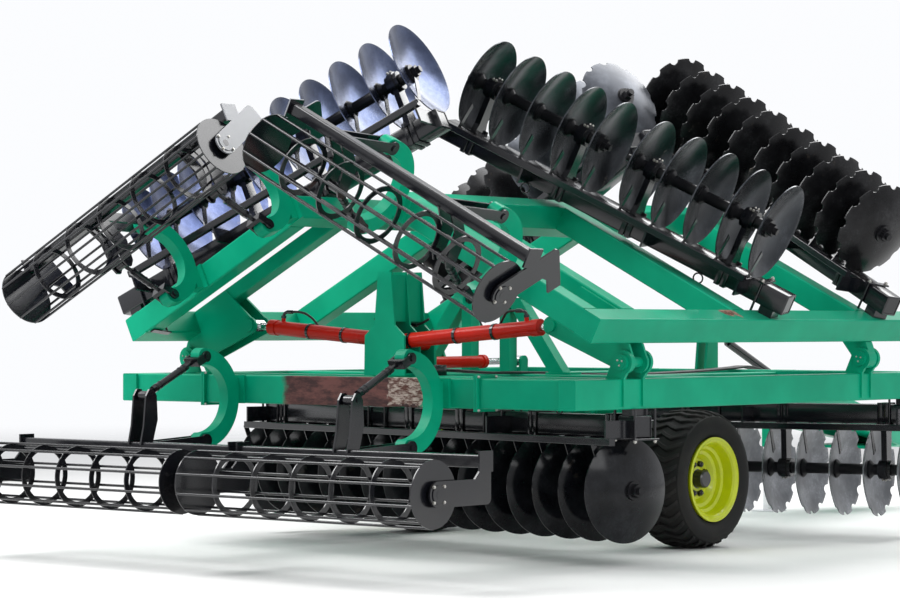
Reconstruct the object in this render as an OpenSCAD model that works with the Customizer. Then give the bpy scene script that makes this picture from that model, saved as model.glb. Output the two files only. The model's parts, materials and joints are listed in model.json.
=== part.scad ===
// Trailed disc harrow, folded for the road: a centre frame on two wheels and two wings.
// X is the machine's right, Y its forward direction, Z up; the ground is Z = 0.
// Station numbers along Y count from the rear face of the centre frame.

/* [Centre frame] */
// Width over the outer faces of the side beams
frame_w = 4200; // [4000:10:4300]
// Length of the side beams
frame_len = 4600; // [4500:10:4700]
// Height of the middle of the frame beams above the ground
frame_z = 1160; // [1150:1:1170]
// Height of the side beams and cross beams
beam_h = 200; // [180:1:210]
// Width of the side beams
side_beam_w = 140; // [120:1:150]
// Width of the cross beams
cross_beam_w = 160; // [120:1:160]
// Distance of the inner rails from the middle
rail_x = 670; // [640:1:700]
// Width of the inner rails
rail_w = 120; // [100:1:130]

/* [Fold] */
// Angle through which the wings are folded over the centre
fold = 153; // [151:0.5:154]
// Height of the fold hinges
hinge_z = 1370; // [1360:1:1380]
// Station of the front hinge
hinge_front_y = 3520; // [3450:1:3560]
// Radius of the hinge pins
hinge_pin_r = 35; // [25:1:35]
// Distance from the hinge to the fold cylinder's pin on the wing
crank_out = 663; // [640:1:680]
// Height of that pin over the hinge with the wing down
crank_up = 67; // [60:1:80]

/* [Discs] */
// Disc diameter
disc_d = 710; // [660:5:716]
// Disc thickness
disc_t = 8; // [6:0.5:10]
// Radius of the sphere that a disc is pressed to
dish_r = 800; // [700:10:1000]
// Distance between discs along a gang
pitch = 270; // [250:1:280]
// Half of the gap between two gangs in line
gang_gap = 165; // [160:1:175]
// Height of the gang shafts
gang_z = 515; // [500:1:520]
// Angle between the gangs and the cross beams
gang_angle = 12; // [9:0.5:13]
// Number of notches in a front disc
notches = 12; // [8:1:14]
// Notch radius
notch_r = 42; // [25:1:50]

/* [Rollers] */
// Diameter over the roller bars
roller_d = 430; // [380:5:440]
// Number of bars round a roller
roller_bars = 10; // [8:1:12]
// Height of the centre rollers
roller_z = 590; // [570:1:600]
// Station of the centre rollers
roller_y = -1380; // [-1420:1:-1370]

/* [Wheels] */
// Tyre diameter
tyre_d = 1000; // [960:5:1010]
// Tyre width
tyre_w = 440; // [380:5:450]
// Distance from the middle of the machine to the middle of a wheel
wheel_x = 1280; // [1270:1:1300]
// Station of the wheel axles
wheel_y = 2450; // [2420:1:2470]

/* [Drawbar] */
// Station of the hitch eye
eye_y = 7700; // [7600:10:7800]
// Height of the hitch eye
eye_z = 600; // [580:1:620]
// Radius of the hole in the hitch eye
eye_bore_r = 26; // [20:0.5:32]

/* [Hidden] */
$fn = 48;
frame_x = frame_w / 2;
side_x = frame_x - side_beam_w / 2;
cross_half = frame_x - side_beam_w;
frame_top = frame_z + beam_h / 2;
frame_low = frame_z - beam_h / 2;
cross_y = [100, 700, 1700, frame_len - 100];
paint_green = "#18a078";
gloss_black = "#18191c";
disc_grey = "#4a5260";
rust_red = "#c8321e";
rim_yellow = "#e8d800";
tyre_black = "#202124";
bright = "#b8bcc0";

// The middle of the whole length lies over the origin.
rear_end = roller_y - roller_d / 2;
eye_r = 75;
front_end = eye_y + eye_r;
y_shift = -(rear_end + front_end) / 2;

// Walls of the hollow tubes, and the clearance of what seats inside or against another piece
wall = 10;
seat = 0.3;

// Wing frame, in the place that it takes with the wing down
wing_h = 180;
wing_rail_in = frame_x + 110;
wing_rail_out = frame_x + 1900;
wing_rail_w = 160;
wing_rail_out_w = 140;
wing_cross_w = 150;
wing_rear_y = 200;
wing_mid_y = 1900;
wing_front_y = 3500;
wing_rail_y0 = wing_rear_y - wing_cross_w / 2;
wing_rail_y1 = 4060;
crank_beam_h = 110;
wing_top = frame_z + wing_h / 2;
wing_low = frame_z - wing_h / 2;

// Fold cylinders
base_x = 120;
base_z = 1485;
tower_t = 16;
tower_half = 190;
post_half = 60;
post_low = 1640;
post_top = 1990;
barrel_y = [620, 780];
crank_gap = 130;
crank_t = 20;
lug_gap = 190;
lug_t = 25;
pin_r = 25;
pin_fit = 0.05;
crank_x = frame_x + crank_out;
crank_z = hinge_z + crank_up;
barrel_r = 52;
rod_r = 28;
eye_or = 46;
eye_w = 110;

// Where the crank pin lies with the wing folded
fold_px = frame_x + crank_out * cos(fold) - crank_up * sin(fold);
fold_pz = hinge_z + crank_out * sin(fold) + crank_up * cos(fold);
cyl_len = sqrt(pow(fold_px + base_x, 2) + pow(fold_pz - base_z, 2));
cyl_tilt = atan2(fold_pz - base_z, fold_px + base_x);
gland_at = cyl_len - 145;

// Gangs
beam_sq = 120;
gang_beam_z = 940;
scraper_off = 262;
scraper_z = 845;
spool_r = 42;
journal_r = 45;
flange_r = 66;
house_r = 72;
house_len = 100;
nut_end = 88;
disc_r = disc_d / 2;
dish = dish_r - sqrt(dish_r * dish_r - disc_r * disc_r);

// Rows of gangs: side (0 is the centre), middle of the row, station, turn, discs in a gang, beam ends
centre_rear_y = 1170;
centre_front_y = 3780;
wing_row_x = frame_x + 1580;
row_side = 0;
row_x = 1;
row_y = 2;
row_turn = 3;
row_discs = 4;
row_from = 5;
row_to = 6;
row_front = 7;
c_end = gang_gap + 7 * pitch + 110;
w_out = gang_gap + 4 * pitch + 110;
w_in = 1620;
rows = [
    [0, 0, centre_front_y, gang_angle, 8, -c_end, c_end, true],
    [0, 0, centre_rear_y, -gang_angle, 8, -c_end, c_end, false],
    [1, wing_row_x, 3900, gang_angle, 5, -w_in, w_out, true],
    [1, wing_row_x, 1850, -gang_angle, 5, -w_in, w_out, false],
    [-1, -wing_row_x, 3640, gang_angle, 5, -w_out, w_in, true],
    [-1, -wing_row_x, 550, -gang_angle, 5, -w_out, w_in, false]
];

// Rollers: both ends along X, station, height, then the frame tube's place forward of and over the shaft,
// the tilt of the end plates, how far the brackets lean forward, and the drop of the curved arms
roll_from = 0;
roll_to = 1;
roll_y = 2;
roll_z = 3;
roll_fwd = 4;
roll_up = 5;
roll_tilt = 6;
roll_lean = 7;
roll_drop = 8;
roll_back = 9;
hoop_w = 38;
hoop_t = 8;
hoop_pitch = 340;
bar_r = 9;
bar_proud = 4;
stub_r = 25;
stub_len = 46;
centre_roller = [70, 2080, roller_y, roller_z, 455, 185, 0, 45, 0, 0];
wing_arm_back = wing_rail_y0 - 20;
wing_roller_z = 940;
roller_mid_gap = 210;
wing_roller_end = frame_x + (frame_x - (wing_roller_z - hinge_z) * sin(fold) - roller_mid_gap) / -cos(fold);
wing_roller = [frame_x + 140, wing_roller_end, -880, wing_roller_z, 170, -250, -32, 125, 90, wing_arm_back];
roller_tube = 80;
roller_tube_wall = 6;
roller_wall_mid = (roller_tube - roller_tube_wall) / 2;
roller_side = 32;
roller_plate_t = 14;
hook_arm_h = 160;
hook_reach = 500;
hook_neck = 110;
bracket_half = 60;
bracket_up = 355;
bracket_pin_r = 14;
trail_half = 56;
trail_t = 18;
trail_h = 70;
trail_eye_r = 48;
bearing_r = 58;
bearing_len = 26;

// Roller arms
arm_x = 950;
wing_arm_x = [frame_x + 850, frame_x + 1900];
arm_t = 84;
arm_ro = 350;
arm_ri = 240;
arm_cz = 1100;
arm_span = 88;
arm_end_r = 60;
arm_pin_top_r = 20;
arm_pin_low_r = 22;
arm_mid = (arm_ro + arm_ri) / 2;

// Rockshaft, wheel arms and lift cylinder
rock_y = 1980;
rock_z = 950;
rock_r = 75;
tyre_gap = 20;
rock_half = wheel_x - tyre_w / 2 - tyre_gap;
wheel_z = tyre_d / 2;
axle_r = 40;
rim_r = 290;
lever_dy = 50;
lever_dz = 400;
lift_base_y = 960;
lift_base_z = 1345;
lever_y = rock_y + lever_dy;
lever_z = rock_z + lever_dz;
lift_len = sqrt(pow(lever_y - lift_base_y, 2) + pow(lever_z - lift_base_z, 2));
lift_tilt = atan2(lever_z - lift_base_z, lever_y - lift_base_y);
lift_pin_r = 20;
lift_barrel_r = 42;
lift_rod_r = 24;

// Drawbar
apex_y = eye_y - 400;
draw_z0 = 1130;
draw_w = 180;
draw_h = 210;
draw_y0 = frame_len + 12;
draw_apex_x = 90;
draw_z1 = eye_z + 40;
draw_yaw = atan2(rail_x - draw_apex_x, apex_y - draw_y0);
draw_flat = sqrt(pow(rail_x - draw_apex_x, 2) + pow(apex_y - draw_y0, 2));
draw_pitch = atan2(draw_z1 - draw_z0, draw_flat);
draw_len = sqrt(draw_flat * draw_flat + pow(draw_z1 - draw_z0, 2));
jack_y = 6150;
jack_gap = 60;
jack_x = -draw_face(jack_y) - jack_gap;
jack_sleeve = 90;
jack_mount_half = 40;
jack_leg_w = 70;
mast_y = cross_y[3];
mast_top = 1640;
link_half = 45;
link_t = 22;
link_pin_r = 18;
link_mast = [mast_y + 25, mast_top - 50];
link_foot = [6060, 945];
link_cross_y = link_foot[0] - 10;
link_cross_z = link_foot[1] - 130;
draw_end = apex_y + 60;

// Rests for the folded wings: station, foot and top of the slanting legs
rest_y = cross_y[2];
rest_post_x = 180;
rest_foot_x = 690;
rest_top_x = 240;
rest_top_z = 1800;
rest_w = 90;

// Placing

module at_frame() {
    translate([0, y_shift, 0]) children();
}

module folded(side) {
    at_frame()
        translate([side * frame_x, 0, hinge_z])
            rotate([0, -side * fold, 0])
                translate([-side * frame_x, 0, -hinge_z]) children();
}

module on_row(row) {
    translate([row[row_x], row[row_y], 0]) rotate([0, 0, row[row_turn]]) children();
}

// Shapes

// A rectangle with round corners, for box tube
module tube_face(w, h, r = 12) {
    square([w - 2 * r, h], center = true);
    square([w, h - 2 * r], center = true);
    for (x = [-1, 1], y = [-1, 1]) translate([x * (w / 2 - r), y * (h / 2 - r)]) circle(r = r);
}

// The same with its hollow inside
module tube_ring(w, h, t, r = 12) {
    difference() {
        tube_face(w, h, r);
        square([w - 2 * t, h - 2 * t], center = true);
    }
}

module beam_x(x0, x1, y, z, w, h, r = 12) {
    translate([x0, y, z]) rotate([90, 0, 90]) linear_extrude(x1 - x0) tube_face(w, h, r);
}

module hollow_x(x0, x1, y, z, w, h, t = wall) {
    translate([x0, y, z]) rotate([90, 0, 90]) linear_extrude(x1 - x0) tube_ring(w, h, t);
}

module hollow_y(x, y0, y1, z, w, h, t = wall) {
    translate([x, y0, z]) rotate([-90, 0, 0]) linear_extrude(y1 - y0) tube_ring(w, h, t);
}

// A plate seated in the open end of a hollow tube
module tube_cap(x, y0, y1, z, w, h) {
    translate([x - w / 2 + wall + seat, y0, z - h / 2 + wall + seat]) cube([w - 2 * wall - 2 * seat,
        y1 - y0, h - 2 * wall - 2 * seat]);
}

// A plate that stands across Y: its outline is in X and Z
module plate_y(y, t) {
    translate([0, y + t / 2, 0]) rotate([90, 0, 0]) linear_extrude(t) children();
}

// A plate that stands across X: its outline is in Y and Z
module plate_x(x, t) {
    translate([x - t / 2, 0, 0]) rotate([90, 0, 90]) linear_extrude(t) children();
}

module rod_between(x, y0, z0, y1, z1, r, from = 0, short = 0) {
    len = sqrt(pow(y1 - y0, 2) + pow(z1 - z0, 2));
    translate([x, y0, z0]) rotate([atan2(z1 - z0, y1 - y0), 0, 0])
        translate([0, from, 0]) rotate([-90, 0, 0]) cylinder(r = r, h = len - from - short);
}

module pin_y(x, y, z, r, len) {
    translate([x, y - len / 2, z]) rotate([-90, 0, 0]) cylinder(r = r, h = len);
}

module pin_x(x, y, z, r, len) {
    translate([x - len / 2, y, z]) rotate([0, 90, 0]) cylinder(r = r, h = len);
}

// Centre frame

module side_beams() color(paint_green) at_frame() {
    for (s = [-1, 1]) {
        hollow_y(s * side_x, 0, frame_len, frame_z, side_beam_w, beam_h);
        for (y = [0, frame_len - wall]) tube_cap(s * side_x, y, y + wall, frame_z, side_beam_w, beam_h);
    }
}

module cross_beams() color(paint_green) at_frame() {
    for (y = cross_y) hollow_x(-cross_half, cross_half, y, frame_z, cross_beam_w, beam_h);
}

module inner_rails() color(paint_green) at_frame() {
    for (s = [-1, 1], i = [0 : len(cross_y) - 2])
        hollow_y(s * rail_x, cross_y[i] + cross_beam_w / 2, cross_y[i + 1] - cross_beam_w / 2, frame_z,
            rail_w, beam_h - 30);
}

// Plates round a hinge pin, standing on a side beam
module hinge_pair(side, y, gap, t) {
    for (k = [-1, 1]) plate_y(y + k * (gap + t) / 2, t) difference() {
        union() {
            translate([side * frame_x, hinge_z]) circle(r = 80);
            polygon([[side * (frame_x - side_beam_w + 5), frame_top], [side * frame_x, frame_top],
                [side * (frame_x + 12), frame_top], [side * (frame_x + 79), hinge_z],
                    [side * (frame_x - 76), hinge_z + 20]]);
            polygon([[side * frame_x, frame_low + 20], [side * (frame_x + 14), frame_low + 20],
                [side * (frame_x + 14), frame_top + 4], [side * frame_x, frame_top + 4]]);
        }
        translate([side * frame_x, hinge_z]) circle(r = hinge_pin_r);
    }
    pin_y(side * frame_x, y, hinge_z, hinge_pin_r, gap + 2 * t + 50);
    for (k = [-1, 1]) pin_y(side * frame_x, y + k * (gap / 2 + t + 10), hinge_z, 52, 20);
}

module hinge_brackets() color(paint_green) at_frame() {
    for (s = [-1, 1]) {
        hinge_pair(s, barrel_y[s > 0 ? 0 : 1], lug_gap, lug_t);
        hinge_pair(s, hinge_front_y, 100, lug_t);
    }
}

module tower_plate_shape() {
    polygon([[-tower_half, frame_top], [tower_half, frame_top], [tower_half - 5, base_z + 55],
        [95, base_z + 130],
        [post_half, post_top], [-post_half, post_top], [-95, base_z + 130], [5 - tower_half, base_z + 55]]);
}

module cylinder_tower() color(paint_green) at_frame() {
    mid = (barrel_y[0] + barrel_y[1]) / 2;
    step = barrel_y[1] - barrel_y[0];
    for (k = [-1, 0, 1]) plate_y(mid + k * step, tower_t) tower_plate_shape();
    translate([-tower_half, mid - step - tower_t / 2, frame_top])
        cube([2 * tower_half, 2 * step + tower_t, tower_t]);
    for (s = [-1, 1]) pin_y(-s * base_x, barrel_y[s > 0 ? 0 : 1], base_z, pin_r, step);
    translate([-post_half, mid - step, post_low]) cube([2 * post_half, 2 * step, post_top - 20 - post_low]);
    for (s = [-1, 1]) plate_x(s * 72, 18) difference() {
        polygon([[mid + step, frame_top], [lift_base_y + 40, frame_top], [lift_base_y + 48,
            lift_base_z + 45], [mid + step, lift_base_z + 70]]);
        translate([lift_base_y, lift_base_z]) circle(r = lift_pin_r);
    }
    pin_x(0, lift_base_y, lift_base_z, lift_pin_r, 200);
}

// The frame on which the folded wings rest: two posts and two slanting legs with a bar on top
module wing_rests() {
    for (s = [-1, 1]) {
        translate([s * rest_post_x - rest_w / 2, rest_y - rest_w / 2, frame_top])
            cube([rest_w, rest_w, rest_top_z - frame_top]);
        plate_y(rest_y, rest_w) polygon([[s * (rest_foot_x - rest_w), frame_top],
            [s * (rest_foot_x + rest_w / 2), frame_top],
            [s * (rest_top_x + rest_w), rest_top_z], [s * (rest_top_x - rest_w / 2), rest_top_z]]);
        translate([s * rest_foot_x - 110, rest_y - 70, frame_top]) cube([220, 140, 16]);
    }
    translate([-rest_top_x - rest_w, rest_y - rest_w / 2, rest_top_z]) cube([2 * (rest_top_x + rest_w),
        rest_w, 14]);
}

// Gangs

// The bearing places of a gang, counted from its disc nearest to the middle of the row
function bearing_at(n) = n == 8 ? [0.5, 3.5, 6.5] : [0.5, 3.5];

// A disc pressed to part of a sphere: its hub is at the origin and it opens downwards
module dished_disc(notched) {
    difference() {
        rotate_extrude($fn = 96) intersection() {
            translate([0, -dish_r]) difference() {
                circle(r = dish_r + disc_t, $fn = 720);
                circle(r = dish_r, $fn = 720);
            }
            translate([0, -dish - disc_t]) square([disc_r, dish + 3 * disc_t]);
        }
        if (notched) for (i = [0 : notches - 1]) rotate(i * 360 / notches)
            translate([disc_r + notch_r * 0.35, 0, -dish - 3 * disc_t])
                cylinder(r = notch_r, h = dish + 4 * disc_t);
    }
}

// A disc with its hub at the origin: it opens towards +X, or -X with hollow -1
module disc_at(s, hollow, notched) {
    translate([s, 0, 0]) rotate([0, hollow > 0 ? -90 : 90, 0]) dished_disc(notched);
}

// Half outline of a spool between two discs
module spool(s0, s1) {
    len = s1 - s0;
    translate([s0, 0, 0]) rotate([0, 90, 0]) rotate_extrude() polygon([[0, 0], [flange_r, 0],
        [flange_r, 16], [spool_r, 40],
        [spool_r, len - 40], [flange_r, len - 16], [flange_r, len], [0, len]]);
}

module gang_end(s, dir) {
    translate([s, 0, 0]) rotate([0, 90 * dir, 0]) {
        cylinder(r = flange_r, h = 26);
        translate([0, 0, 26]) cylinder(r = 46, h = 34, $fn = 6);
        cylinder(r = 25, h = nut_end);
    }
}

module gang(row, dir) {
    n = row[row_discs];
    hollow = row[row_front] ? 1 : -1;
    translate([0, 0, gang_z]) {
        for (i = [0 : n - 1]) disc_at(dir * (gang_gap + i * pitch), hollow, row[row_front]);
        for (i = [0 : n - 2]) {
            a = dir * (gang_gap + i * pitch);
            b = dir * (gang_gap + (i + 1) * pitch);
            spool(min(a, b), max(a, b));
        }
        for (at = bearing_at(n)) pin_x(dir * (gang_gap + at * pitch), 0, 0, journal_r, house_len + 20);
        gang_end(dir * gang_gap, -dir);
        gang_end(dir * (gang_gap + (n - 1) * pitch), dir);
    }
}

module standard_at(s) {
    top = gang_beam_z - beam_sq / 2;
    translate([s, 0, 0]) {
        difference() {
            union() {
                plate_x(0, 44) polygon([[-95, top], [95, top], [58, top - 90], [48, gang_z + 40],
                    [-48, gang_z + 40], [-58, top - 90]]);
                translate([-42, -80, top - 16]) cube([84, 160, 16]);
                pin_x(0, 0, gang_z, house_r, house_len);
                pin_x(0, 0, gang_z, house_r + 12, 44);
            }
            pin_x(0, 0, gang_z, journal_r + pin_fit, house_len + 10);
        }
    }
}

module row_beam(row) {
    hollow_x(row[row_from], row[row_to], 0, gang_beam_z, beam_sq, beam_sq);
    for (x = [row[row_from], row[row_to] - wall]) translate([x, 0, gang_beam_z]) rotate([90, 0, 90])
        linear_extrude(wall) square(beam_sq - 2 * wall - 2 * seat, center = true);
}

// The scraper bar behind a row, held by arms on the gang beam, and its blades
module row_scrapers(row) {
    hollow = row[row_front] ? 1 : -1;
    last = gang_gap + (row[row_discs] - 1) * pitch + 90;
    beam_x(-last, last, -scraper_off, scraper_z, 50, 50, 6);
    for (k = [-1, 1], at = [0.6, 0.02]) translate([k * last * (1 - at), 0, 0]) {
        translate([-8, -scraper_off - 25, scraper_z + 25]) cube([16, scraper_off + 25 - beam_sq / 2,
            gang_beam_z + 45 - scraper_z - 25]);
        translate([-30, -beam_sq / 2 - 8, gang_beam_z - 45]) cube([60, 8, 90]);
    }
    for (k = [-1, 1], i = [0 : row[row_discs] - 1])
        translate([k * (gang_gap + i * pitch) + hollow * (dish + 22), 0, 0])
            plate_x(0, 8) polygon([[-scraper_off - 18, scraper_z - 10], [-scraper_off + 22, scraper_z - 10],
                [-scraper_off + 100, gang_z + 150], [-scraper_off + 60, gang_z + 120]]);
}

module row_standards(row) {
    for (k = [-1, 1], at = bearing_at(row[row_discs])) standard_at(k * (gang_gap + at * pitch));
}

// Clamp blocks that fill the height between a gang beam and the frame member over it
module clamp_at(row, x, low) {
    s = (x - row[row_x]) / cos(row[row_turn]);
    over = low - gang_beam_z - beam_sq / 2;
    translate([s - 80, -80, gang_beam_z + beam_sq / 2]) cube([160, 160, over]);
}

module centre_gang_beams() color(gloss_black) at_frame() {
    for (row = rows) if (row[row_side] == 0) on_row(row) {
        row_beam(row);
        for (x = [-1, 1]) {
            clamp_at(row, x * rail_x, frame_low + 15);
            clamp_at(row, x * side_x, frame_low);
        }
    }
}

module centre_standards() color(gloss_black) at_frame() {
    for (row = rows) if (row[row_side] == 0) on_row(row) {
        row_standards(row);
        row_scrapers(row);
    }
}

module centre_gang(i, dir) color(disc_grey) at_frame() on_row(rows[i]) gang(rows[i], dir);

// Rollers

module roller(r) {
    width = r[roll_to] - r[roll_from];
    hoops = max(2, round(width / hoop_pitch));
    gap = width / hoops;
    translate([r[roll_from], r[roll_y], r[roll_z]]) rotate([0, 90, 0]) {
        for (i = [1 : hoops - 1]) translate([0, 0, i * gap - hoop_t / 2]) difference() {
            cylinder(r = roller_d / 2 - bar_r, h = hoop_t);
            translate([0, 0, -1]) cylinder(r = roller_d / 2 - bar_r - hoop_w, h = hoop_t + 2);
        }
        for (z = [0, width - hoop_t]) translate([0, 0, z]) cylinder(r = roller_d / 2 - bar_proud, h = hoop_t);
        for (i = [0 : roller_bars - 1]) rotate(i * 360 / roller_bars) translate([roller_d / 2 - bar_r, 0,
            1]) cylinder(r = bar_r, h = width - 2);
        translate([0, 0, -stub_len]) cylinder(r = stub_r, h = stub_len + 1);
        translate([0, 0, width - 1]) cylinder(r = stub_r, h = stub_len + 1);
    }
}

// The outline of a roller's end plate with its bearing at the origin: forward, then up to the frame tube
module hook_shape() {
    low = -hook_arm_h / 2;
    circle(r = hook_arm_h / 2);
    translate([0, low]) square([hook_reach - 40, hook_arm_h]);
    translate([hook_reach - hook_neck, low + 40])
        square([hook_neck, centre_roller[roll_up] + roller_tube / 2 - low - 40]);
    translate([hook_reach - 40, low + 40]) circle(r = 40);
    polygon([[hook_reach - hook_neck - 45, -low], [hook_reach - hook_neck, -low],
        [hook_reach - hook_neck, -low + 45]]);
}

// The outline of a bracket on the frame tube, with the turnbuckle's pin in its top
module bracket_shape(lean) {
    difference() {
        polygon([[-55, 20], [55, 20], [lean + 60, 190], [lean + 50, bracket_up],
            [lean + 20, bracket_up + 45], [lean - 20, bracket_up + 45],
            [lean - 50, bracket_up], [lean - 70, 150]]);
        translate([lean, bracket_up]) circle(r = bracket_pin_r);
    }
}

// A bar from a roller's frame tube to the low pin of its arm
module trail_bar(x, from, to) {
    away = to - from;
    plate_x(x, trail_t) difference() {
        union() {
            translate(from) rotate(atan2(away[1], away[0])) translate([roller_wall_mid, -trail_h / 2])
                square([norm(away) - roller_wall_mid, trail_h]);
            translate(to) circle(r = trail_eye_r);
        }
        translate(to) circle(r = arm_pin_low_r);
    }
}

// The frame tube, its end plates with the bearings, and at each arm the brackets and the trailing bars
module roller_frame(r, arms) {
    tube = [r[roll_y] + r[roll_fwd], r[roll_z] + r[roll_up]];
    ends = [r[roll_from] - roller_side, r[roll_to] + roller_side];
    hollow_x(ends[0], ends[1], tube[0], tube[1], roller_tube, roller_tube, roller_tube_wall);
    for (x = ends) difference() {
        union() {
            plate_x(x, roller_plate_t) {
                translate([r[roll_y], r[roll_z]]) rotate(r[roll_tilt]) hook_shape();
                translate(tube) square(roller_tube + 50, center = true);
            }
            pin_x(x, r[roll_y], r[roll_z], bearing_r, bearing_len);
        }
        pin_x(x, r[roll_y], r[roll_z], stub_r + pin_fit, bearing_len + 4);
    }
    for (b = arms, k = [-1, 1]) {
        plate_x(b + k * bracket_half, roller_plate_t) translate(tube) bracket_shape(r[roll_lean]);
        trail_bar(b + k * trail_half, tube, arm_low(r));
    }
}

// A curved arm from the rear beam of a frame: a C that opens to the rear
module roller_arm(x, r) {
    cy = r[roll_back] - arm_ro;
    cz = arm_cz - r[roll_drop];
    far = 2 * arm_ro;
    plate_x(x, arm_t) difference() {
        union() {
            intersection() {
                translate([cy, cz]) circle(r = arm_ro, $fn = 96);
                polygon([[cy, cz], [cy + far * cos(arm_span), cz + far * sin(arm_span)], [cy + far, cz + far],
                    [cy + far, cz - far], [cy + far * cos(arm_span), cz - far * sin(arm_span)]]);
            }
            translate(arm_top(r)) circle(r = arm_end_r);
            translate(arm_low(r)) circle(r = arm_end_r);
            translate([cy + arm_ro - 60, frame_low + 20]) square([60, beam_h - 40]);
        }
        translate([cy, cz]) circle(r = arm_ri, $fn = 96);
        translate(arm_top(r)) circle(r = arm_pin_top_r);
        translate(arm_low(r)) circle(r = arm_pin_low_r);
    }
}

// Places of the pins in the two ends of a roller's arm
function arm_top(r) = [r[roll_back] - arm_ro + arm_mid * cos(arm_span),
    arm_cz - r[roll_drop] + arm_mid * sin(arm_span)];
function arm_low(r) = [r[roll_back] - arm_ro + arm_mid * cos(arm_span),
    arm_cz - r[roll_drop] - arm_mid * sin(arm_span)];

// The threaded turnbuckle of one roller arm with its eye, sleeve and fork, and the arm's two pins
module arm_gear(x, r) {
    foot = [r[roll_y] + r[roll_fwd] + r[roll_lean], r[roll_z] + r[roll_up] + bracket_up];
    top = arm_top(r);
    low = arm_low(r);
    len = sqrt(pow(top[0] - foot[0], 2) + pow(top[1] - foot[1], 2));
    fork = arm_end_r + 12;
    translate([x, foot[0], foot[1]]) rotate([atan2(top[1] - foot[1], top[0] - foot[0]), 0, 0]) {
        difference() {
            union() {
                pin_x(0, 0, 0, 32, 70);
                rotate([-90, 0, 0]) cylinder(r = 15, h = len - fork - 15);
            }
            pin_x(0, 0, 0, bracket_pin_r, 80);
        }
        translate([0, 110, 0]) rotate([-90, 0, 0]) cylinder(r = 25, h = len - 110 - fork - 110);
        translate([-trail_half - trail_t / 2, len - fork - 30, -30]) cube([2 * trail_half + trail_t, 30, 60]);
        for (k = [-1, 1]) {
            translate([k * trail_half - trail_t / 2, len - fork - 30, -30]) cube([trail_t, fork + 30, 60]);
            pin_x(k * trail_half, len, 0, 38, trail_t);
        }
    }
    pin_x(x, low[0], low[1], arm_pin_low_r, 150);
    pin_x(x, top[0], top[1], arm_pin_top_r, 150);
    pin_x(x, foot[0], foot[1], bracket_pin_r, 150);
}

module centre_roller_arms() color(paint_green) at_frame() {
    for (s = [-1, 1]) {
        roller_arm(s * arm_x, centre_roller);
        translate([s * arm_x - 90, 0, frame_low]) cube([180, cross_y[0] - cross_beam_w / 2, beam_h]);
    }
}

module centre_turnbuckles() color(gloss_black) at_frame() {
    for (s = [-1, 1]) arm_gear(s * arm_x, centre_roller);
}

module centre_roller_frames() color(gloss_black) at_frame() {
    for (s = [0, 1]) mirror([s, 0, 0]) roller_frame(centre_roller, [arm_x]);
}

module centre_rollers(side) color(gloss_black) at_frame() mirror([side > 0 ? 0 : 1, 0, 0])
    roller(centre_roller);

// Running gear

module rockshaft() color(paint_green) at_frame() {
    pin_x(0, rock_y, rock_z, rock_r, 2 * rock_half);
    for (s = [-1, 1]) {
        plate_x(s * (rock_half - 50), 90) difference() {
            union() {
                translate([rock_y, rock_z]) circle(r = 105);
                translate([wheel_y, wheel_z]) circle(r = 85);
                polygon([[rock_y - 75, rock_z - 75], [wheel_y - 62, wheel_z - 58],
                    [wheel_y + 60, wheel_z + 60], [rock_y + 75, rock_z + 75]]);
            }
        }
        pin_x(s * (rock_half + (wheel_x - rock_half) / 2 - 10), wheel_y, wheel_z, axle_r,
            wheel_x - rock_half + 80);
        plate_x(s * 62, 20) difference() {
            union() {
                polygon([[rock_y - 70, rock_z], [rock_y + 70, rock_z], [lever_y + 40, lever_z],
                    [lever_y - 36, lever_z]]);
                translate([lever_y, lever_z]) circle(r = 40);
            }
        }
    }
}

module rock_bearings() {
    for (s = [-1, 1]) difference() {
        union() {
            pin_x(s * 800, rock_y, rock_z, rock_r + 22, 80);
            plate_x(s * 800, 60) polygon([[cross_y[2] + cross_beam_w / 2, frame_low + 150],
                [cross_y[2] + cross_beam_w / 2 + 50, frame_low + 150],
                [rock_y + 10, rock_z + 85], [rock_y - 90, rock_z - 20], [cross_y[2] + cross_beam_w / 2,
                    frame_low + 15]]);
        }
        pin_x(s * 800, rock_y, rock_z, rock_r + pin_fit, 90);
    }
}

// The rockshaft's bearings under the frame and the rests for the folded wings on top of it
module frame_posts() color(paint_green) at_frame() {
    rock_bearings();
    wing_rests();
}

module lift_barrel() color(rust_red) at_frame() {
    translate([0, lift_base_y, lift_base_z]) rotate([lift_tilt, 0, 0]) difference() {
        union() {
            pin_x(0, 0, 0, 42, 110);
            translate([0, 30, 0]) rotate([-90, 0, 0]) cylinder(r = lift_barrel_r, h = 640);
            translate([0, 640, 0]) rotate([-90, 0, 0]) cylinder(r = lift_barrel_r + 8, h = 40);
        }
        pin_x(0, 0, 0, lift_pin_r + pin_fit, 130);
        translate([0, 90, 0]) rotate([-90, 0, 0]) cylinder(r = lift_rod_r + 6, h = 550);
        translate([0, 600, 0]) rotate([-90, 0, 0]) cylinder(r = lift_rod_r + pin_fit, h = 100);
    }
}

module lift_rod() color(bright) at_frame() {
    translate([0, lift_base_y, lift_base_z]) rotate([lift_tilt, 0, 0]) {
        translate([0, 360, 0]) rotate([-90, 0, 0]) cylinder(r = lift_rod_r, h = lift_len - 360 - 20);
        pin_x(0, lift_len, 0, 38, 90);
        pin_x(0, lift_len, 0, 18, 94);
    }
}

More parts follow.
